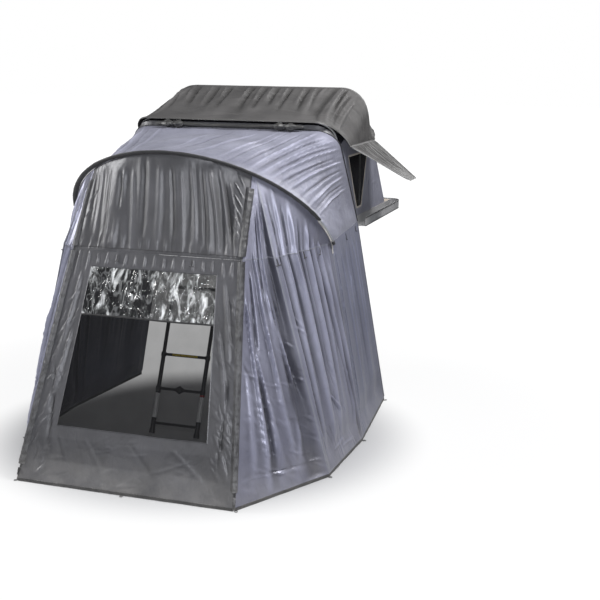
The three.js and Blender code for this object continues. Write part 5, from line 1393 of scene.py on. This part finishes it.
def wall_folds(seed, tall=5.0):
    def detail(y, z):
        low, high = (y.min(), z.min()), (y.max(), z.max())
        return (scattered(y, z, seed, 40, low, high, (20, 35), (120, 420), (10, 22), (1.5, tall))
                + 1.8 * noise(y / 110, z / 180, seed + 1) - 1.5)
    return detail


def net_waves(y, z):
    return 1.5 * noise(y / 90, z / 150, 7)


grown = [(110 + 1, net_low + 1), (270 - 1, net_low + 1), (450 - 1, net_high - 1), (-200 + 1, net_high - 1)]
for side_name, side in both_sides:
    def at_side(y, z, x=side * wall_x):
        return np.stack([np.full_like(y, x), y, z], -1)

    def behind_side(y, z, x=side * (wall_x - 0.9)):
        return np.stack([np.full_like(y, x), y, z], -1)

    out = point(side, 0, 0)
    wall = flat_cloth(f"tent_side_cloth_{side_name}", side_outline, net_outline, at_side, out,
                      wall_folds(111 + side), silver_cloth, cloth_thick)
    piece(wall, "tent", "silver_cloth", f"tent_side_{side_name}")
    net_pane = flat_cloth(f"side_net_{side_name}", grown, None, behind_side, out, net_waves, net.material,
                          0.5, step=20.0)
    piece(net_pane, "tent", "window_net", f"side_mesh_{side_name}")
    ring = []
    for (y0, z0), (y1, z1) in edges_of(net_outline):
        for k in range(20):
            ring.append((side * (wall_x + 0.2), y0 + (y1 - y0) * k / 20, z0 + (z1 - z0) * k / 20))
    ring = np.array(ring)
    tangent = unit(np.roll(ring, -1, 0) - np.roll(ring, 1, 0))
    trim = sweep(f"net_trim_{side_name}", ring, np.cross(out, tangent), out, box_outline(-9, 9, 0.1, 1.6),
                 trim_webbing, loop=True)
    piece(trim, "tent", "pale_webbing")


def corners_round(centres, radius, count):
    """Points round the two upper corners of an outline, the right one first."""
    points = []
    for (x, z), start in zip(centres, (0.0, math.pi / 2)):
        points += [(x + radius * math.cos(t), z + radius * math.sin(t))
                   for t in np.linspace(start, start + math.pi / 2, count)]
    return points


end_half = wall_x - cloth - 0.8


def end_wall(name, base_y, top_y, top_z, corner, hole, material, node_name, slot_name, seed):
    """Wall across the tent, leaning from its foot on the deck to a hoop, with round top corners."""
    rise = point(0, top_y - base_y, top_z - wall_foot)
    height = float(np.linalg.norm(rise))
    rise = rise / height
    out = point(0, -rise[2], rise[1])
    base = point(0, base_y, wall_foot + max(0, -out[2] * cloth))
    out = out if base_y < 0 else -out
    side = end_half - corner
    outline = [(-end_half, 0), (end_half, 0)] + corners_round(
        [(side, height - corner), (-side, height - corner)], corner, 9)

    def place(x, h):
        return base + x[:, None] * np.array([1.0, 0, 0]) + h[:, None] * rise + out * 1.5

    made = flat_cloth(name, outline, hole, place, out, wall_folds(seed, 4.0), material, cloth_thick)
    piece(made, "tent", slot_name, node_name)


doorway = [(-430, 70), (430, 70)] + corners_round([(350, 580), (-350, 580)], 80, 7)
end_wall("tent_front_cloth", front_foot_y, front_top_y, front_top_z, 260, doorway, grey_cloth,
         "tent_front_wall", "grey_cloth", 121)
end_wall("tent_rear_cloth", rear_foot_y, rear_top_y, rear_top_z, 560, None, silver_cloth, "tent_rear_wall",
         "silver_cloth", 123)

# Side window flaps
# A dark flap is sewn to the canopy's hem over each side window and held out by a thin sprung
# bow. It is gathered at its root, and long soft folds run from there to its tip.
flap_cloth = cloth_finish("flap_cloth", (0.026, 0.025, 0.025), (0.042, 0.041, 0.041), 0.55, facet=0.07,
                          relief=0.3, sheen=0.0, shine=0.25)
flap_reach, flap_fall = 435, 330
flap_root = [point(canopy_half, y, canopy_hem - 0.8) for y in (-330, 510)]
flap_end = [point(canopy_half + flap_reach, y, canopy_hem - flap_fall) for y in (150, 400)]
flap_in = unit(point(-flap_fall, 0, -flap_reach))


def flap_surface(u, v):
    p = mix(mix(*flap_root, u), mix(*flap_end, u), v)
    return p + flap_in * (14 * np.sin(math.pi * u) * np.sin(math.pi * v))[..., None]


for side_name, side in both_sides:
    u, v, p, x, y = pattern(flap_surface, 150, 110, (0.0, 1.0), (0.003, 1.0))
    wide, tall = x.max(), y.max()
    fold = np.zeros_like(x)
    rng = np.random.default_rng(131 + side)
    for start in np.linspace(0.04, 0.96, 15):
        start += rng.uniform(-0.02, 0.02)
        end = ((0.5 + (start - 0.5) * 0.9) * wide, rng.uniform(0.5, 1.0) * tall)
        fold += crease(x, y, (start * wide, 0), end, rng.uniform(10, 18), rng.uniform(4, 9),
                       rng.uniform(-0.04, 0.04))
    for start in np.linspace(0.05, 0.95, 26):
        fold += crease(x, y, (start * wide, 0), (start * wide, 0.16 * tall), 6, 5)
    fold += 2.5 * noise(x / 60, y / 200, 133 + side)
    hold = smooth(v, 0, 0.03) * (1 - 0.75 * smooth(np.maximum(np.abs(u - 0.5) * 2, v), 0.9, 0.98))
    outer = on_side(p - flap_in * (np.maximum(fold, -1.5) * hold * 0.8)[..., None], side)
    out = on_side(np.broadcast_to(-flap_in, outer.shape), side)
    body = f"flap_{side_name}"
    # The Fold attribute gets the folds 1.4 times over, for stronger painted shade and highlight than the
    # folds' own depth.
    flap = sheet_mesh(f"flap_cloth_{side_name}", outer, -out, cloth_thick, flap_cloth, fold=1.4 * fold)
    piece(flap, body, "canopy_cloth", f"window_flap_{side_name}")
    for edge_name, path in (("fore", np.s_[6::2, 0]), ("aft", np.s_[6::2, -1]), ("tip", np.s_[-1, ::2])):
        binding = tape(f"flap_binding_{edge_name}_{side_name}", outer[path], out[path], 7, 1.0,
                       binding_cloth)
        piece(binding, body, "canopy_cloth")

# Rolled flap and its ties
# The doorway's outer cloth is rolled up under the canopy's front edge. It bulges each side of
# its two ties and hangs slack between them, and each tie runs up to the canopy.
roof_at_roll = mix(arch_seam(math.pi / 2), join_place(0.5)[0], 0.96)[2]
roll_radius, roll_swell, roll_half, roll_y, tie_x = 21.0, 5.0, 690.0, -757.0, 520.0
roll_z = roof_at_roll + roll_radius + roll_swell + 2 + 4
roll_cloth = cloth_finish("roll_cloth", (0.01, 0.01, 0.01), (0.022, 0.022, 0.021), 0.45, facet=0.03,
                          relief=0.5, shine=0.5)
sideways, backward = np.array([1.0, 0, 0]), np.array([0.0, 1, 0])
share = np.linspace(-1, 1, 220)
run = share * roll_half
near_tie = np.minimum(np.abs(np.abs(run) - tie_x), 400)
girth = 0.8 + 0.85 * np.exp(-((near_tie - 52) / 34) ** 2) - 0.12 * np.exp(-(near_tie / 12) ** 2)
girth = np.where(np.abs(run) < tie_x - 90, girth * (0.74 + 0.1 * noise(run / 60, run * 0, 141)), girth)
girth *= np.sqrt(np.clip(1 - np.abs(share) ** 22, 0.03, 1))
slack = -5.5 * np.cos(np.clip(run / (tie_x - 60), -1, 1) * math.pi / 2) + 1.5 * noise(run / 80, run * 0, 142)
turn, along = np.meshgrid(circle(40), run)
spiral = 1 + 0.1 * np.sin(3 * turn + along / 75 + 2 * noise(run / 130, run * 0, 143)[:, None])
spiral += 0.07 * noise(along / 16, turn * 1.9, 144) + 0.05 * np.sin(9 * turn - along / 40)
rings = np.stack([np.cos(turn) * spiral, np.sin(turn) * spiral], -1) * roll_radius
rolled = sweep("rolled_cloth", np.stack([run, np.full_like(run, roll_y), roll_z + slack], -1), backward,
               upright, rings, roll_cloth, scale=girth)
piece(rolled, "tent", "canopy_cloth", "rolled_flap")
canopy_slope = (ridge_top - canopy_front_z) / (ridge_y - fore_high)
tail_y = roll_y + roll_radius + roll_swell + 1.4
tail_top = canopy_front_z + (tail_y - fore_high) * canopy_slope - cloth - 0.4
for side_name, side in both_sides:
    out = oval(1, 1, 40) @ np.array([backward, upright])
    ring = point(side * tie_x, roll_y, roll_z) + out * (roll_radius + cloth_thick)
    tie = sweep(f"roll_tie_band_{side_name}", ring, sideways, out, box_outline(-7, 7, -0.9, 0.9),
                dark_webbing, loop=True)
    piece(tie, "tent", "dark_webbing", f"roll_tie_{side_name}")
    rise = np.linspace(0, 1, 14)
    tail = np.stack([side * (tie_x + 3 * np.sin(rise * math.pi)), tail_y + 1.2 * np.sin(rise * 6),
                     roll_z + (tail_top - roll_z) * rise], -1)
    tail = sweep(f"roll_tie_tail_{side_name}", tail, sideways, backward, box_outline(-6, 6, -0.8, 0.8),
                 dark_webbing)
    piece(tail, "tent", "dark_webbing")

# Deck, rails and travel cover
# Two boards hinge together under the tent on a long leaf hinge, above two alloy rails with a
# slot for the bar clamps. A pleated gutter of coated cloth holds the folded travel cover.
deck_board = Finish("deck_board", Roughness=0.55)
deck_grain = deck_board.node("TexNoise", Vector=deck_board.scaled(deck_board.place, (3.0, 40.0, 40.0)),
                             Scale=2.4, Detail=9.0, Roughness=0.65).outputs["Fac"]
deck_board.set(Base_Color=deck_board.shades(deck_grain, (0.0, (0.19, 0.15, 0.11)),
                                            (1.0, (0.38, 0.32, 0.25))))
deck_board.relief(deck_grain, 0.25, 0.0012)
refinish(deck_board.material, "deck_front", "deck_rear")
rail_alloy = cast_finish("rail_alloy", (0.5, 0.51, 0.52), (0.68, 0.69, 0.7), 0.38, 1.0, grain=600.0,
                         relief=0.1)
refinish(rail_alloy, "deck_hinge", "roof_rail_front", "roof_rail_rear", "ladder_bracket")

gutter_cloth = cloth_finish("gutter_cloth", (0.25, 0.25, 0.255), (0.36, 0.36, 0.365), 0.42, facet=0.04,
                            relief=0.5, metallic=0.15)
gutter_high = deck_top - 0.4
gutter_low, gutter_start, gutter_corner, gutter_rear = gutter_high - 88, 95, 30, 1440.0
turn = np.linspace(0, math.pi / 2, 26)[1:, None]
corner_out = np.concatenate([np.cos(turn), np.sin(turn)], 1)
corner_middle = np.array([deck_half - gutter_corner, gutter_rear - gutter_corner])
side_run = np.stack([np.full(130, deck_half), np.linspace(gutter_start, gutter_rear - gutter_corner, 130)],
                    -1)
rear_run = np.stack([np.linspace(deck_half - gutter_corner, 0, 95), np.full(95, gutter_rear)], -1)[1:]
half_run = np.concatenate([side_run, corner_middle + gutter_corner * corner_out, rear_run])
half_out = np.concatenate([np.tile([1.0, 0], (130, 1)), corner_out, np.tile([0.0, 1], (94, 1))])


def both_halves(half, z):
    """The right half of a level line, with its mirror image behind it, at height z."""
    whole = np.concatenate([half, (half * [-1, 1])[::-1][1:]])
    return np.concatenate([whole, np.full((len(whole), 1), z)], 1)


at, out = both_halves(half_run, 0), both_halves(half_out, 0)
run = length_along(at)
ruche = 1.3 * np.sin(run / 9 + 3 * noise(run / 90, run * 0, 151)) + 1.6 * noise(run / 30, run * 0, 152)
gutter_outline = np.array([(1.2, gutter_low + 1), (48, gutter_low - 0.2), (93, gutter_low + 1.4),
                           (94, gutter_low + 12), (94.4, gutter_low + 44), (94, gutter_high - 8),
                           (94, gutter_high), (91.6, gutter_high), (91.8, gutter_low + 44),
                           (91, gutter_low + 5), (4.6, gutter_low + 4.4), (4.2, gutter_high),
                           (1.4, gutter_high)])
bulge = np.array([0, 0.2, 0.6, 1, 1.6, 1, 0.3, 0.3, 1.6, 0.6, 0, 0, 0.0])
outlines = np.repeat(gutter_outline[None], len(at), 0)
outlines[:, :, 0] += ruche[:, None] * bulge[None] - 1.2 * (bulge[None] > 0.9)
piece(sweep("travel_cover_gutter", at, out, upright, outlines, gutter_cloth), "tent", "gutter_cover",
      "cover_gutter")
for name, away, z, half, thick, wander, seed in (("gutter_edge", 94.6, gutter_low + 4.0, 5, 1.0, 0.4, 153),
                                                 ("gutter_zip_tape", 95.2, gutter_high - 8.0, 6, 0.8, 0.3,
                                                  154)):
    strip = tape(name, at + out * away + upright * z, out, half, thick, dark_webbing, lift=0.1,
                 wander=wander, seed=seed)
    piece(strip, "tent", "dark_webbing")

# Ladder
# Telescopic ladder of dark anodised tubes, each section sliding into the next with a moulded
# collar at its top rung. Its lowest tubes are pale, and one rung has a grip strip.
ladder_alloy = cast_finish("ladder_alloy", (0.022, 0.022, 0.024), (0.05, 0.05, 0.053), 0.36, 0.55,
                           grain=500.0, relief=0.1)
refinish(ladder_alloy, *(f"ladder_section_{number}" for number in range(1, 6)))
refinish(black_plastic, "ladder_button")
ladder_half, ladder_tilt, tube_radius = 206.0, math.radians(23.2), 20.05
first_rung, rung_centre, grip_half, grip_rung = 228, 18, 118.0, 3
hinge_at = point(-176.0, -876, 1690)
ladder_down = point(0, -math.sin(ladder_tilt), -math.cos(ladder_tilt))
ladder_front = point(0, -math.cos(ladder_tilt), math.sin(ladder_tilt))
ladder_long = (1690 - 25 * math.sin(ladder_tilt) - 0.4) / math.cos(ladder_tilt)
rung_step = (ladder_long - 90 - first_rung - rung_centre) / 5
pale_label = cast_finish("pale_sleeve", (0.78, 0.78, 0.77), (0.86, 0.86, 0.85), 0.45, 0.0, wear=0.2)
grip_yellow = cast_finish("grip_yellow", (0.84, 0.6, 0.03), (0.95, 0.72, 0.06), 0.5, 0.0, wear=0.2)
stop_red = cast_finish("stop_red", (0.4, 0.02, 0.02), (0.55, 0.05, 0.04), 0.45, 0.0, wear=0.2)


def tube_sleeve(name, x, from_down, to_down, radius, material):
    """Thin open sleeve round a tube of the lowest section, with soft edges."""
    middle, half = (from_down + to_down) / 2, (to_down - from_down) / 2
    out = oval(1, 1, 40) @ np.array([sideways, ladder_front])
    ring = hinge_at + point(x, 0, 0) + ladder_down * middle + out * tube_radius
    made = sweep(name, ring, ladder_down, out, box_outline(-half, half, 0, radius - tube_radius, 0.12),
                 material, loop=True)
    piece(made, "ladder_5", "ladder_alloy")


last_top = first_rung + 4 * rung_step
for side_name, side in both_sides:
    tube_sleeve(f"ladder_pale_sleeve_{side_name}", side * ladder_half, last_top + 58,
                last_top + rung_step - 28, 20.4, pale_label)
tube_sleeve("ladder_red_band", ladder_half, last_top + 40, last_top + 56, 20.5, stop_red)
run = np.linspace(-grip_half, grip_half, 24)[:, None]
down = first_rung + grip_rung * rung_step + rung_centre
grip_outline = [(-9.5, 0.1), (-8.8, 1.3), (-5, 1.6), (-4.4, 1.1), (-0.8, 1.1), (0, 1.6), (0.8, 1.1),
                (4.4, 1.1), (5, 1.6), (8.8, 1.3), (9.5, 0.1)]
grip = sweep("ladder_grip_strip", hinge_at + run * sideways + ladder_down * down + ladder_front * 17.0,
             -ladder_down, ladder_front, grip_outline, grip_yellow)
piece(grip, "ladder_4", "ladder_alloy")
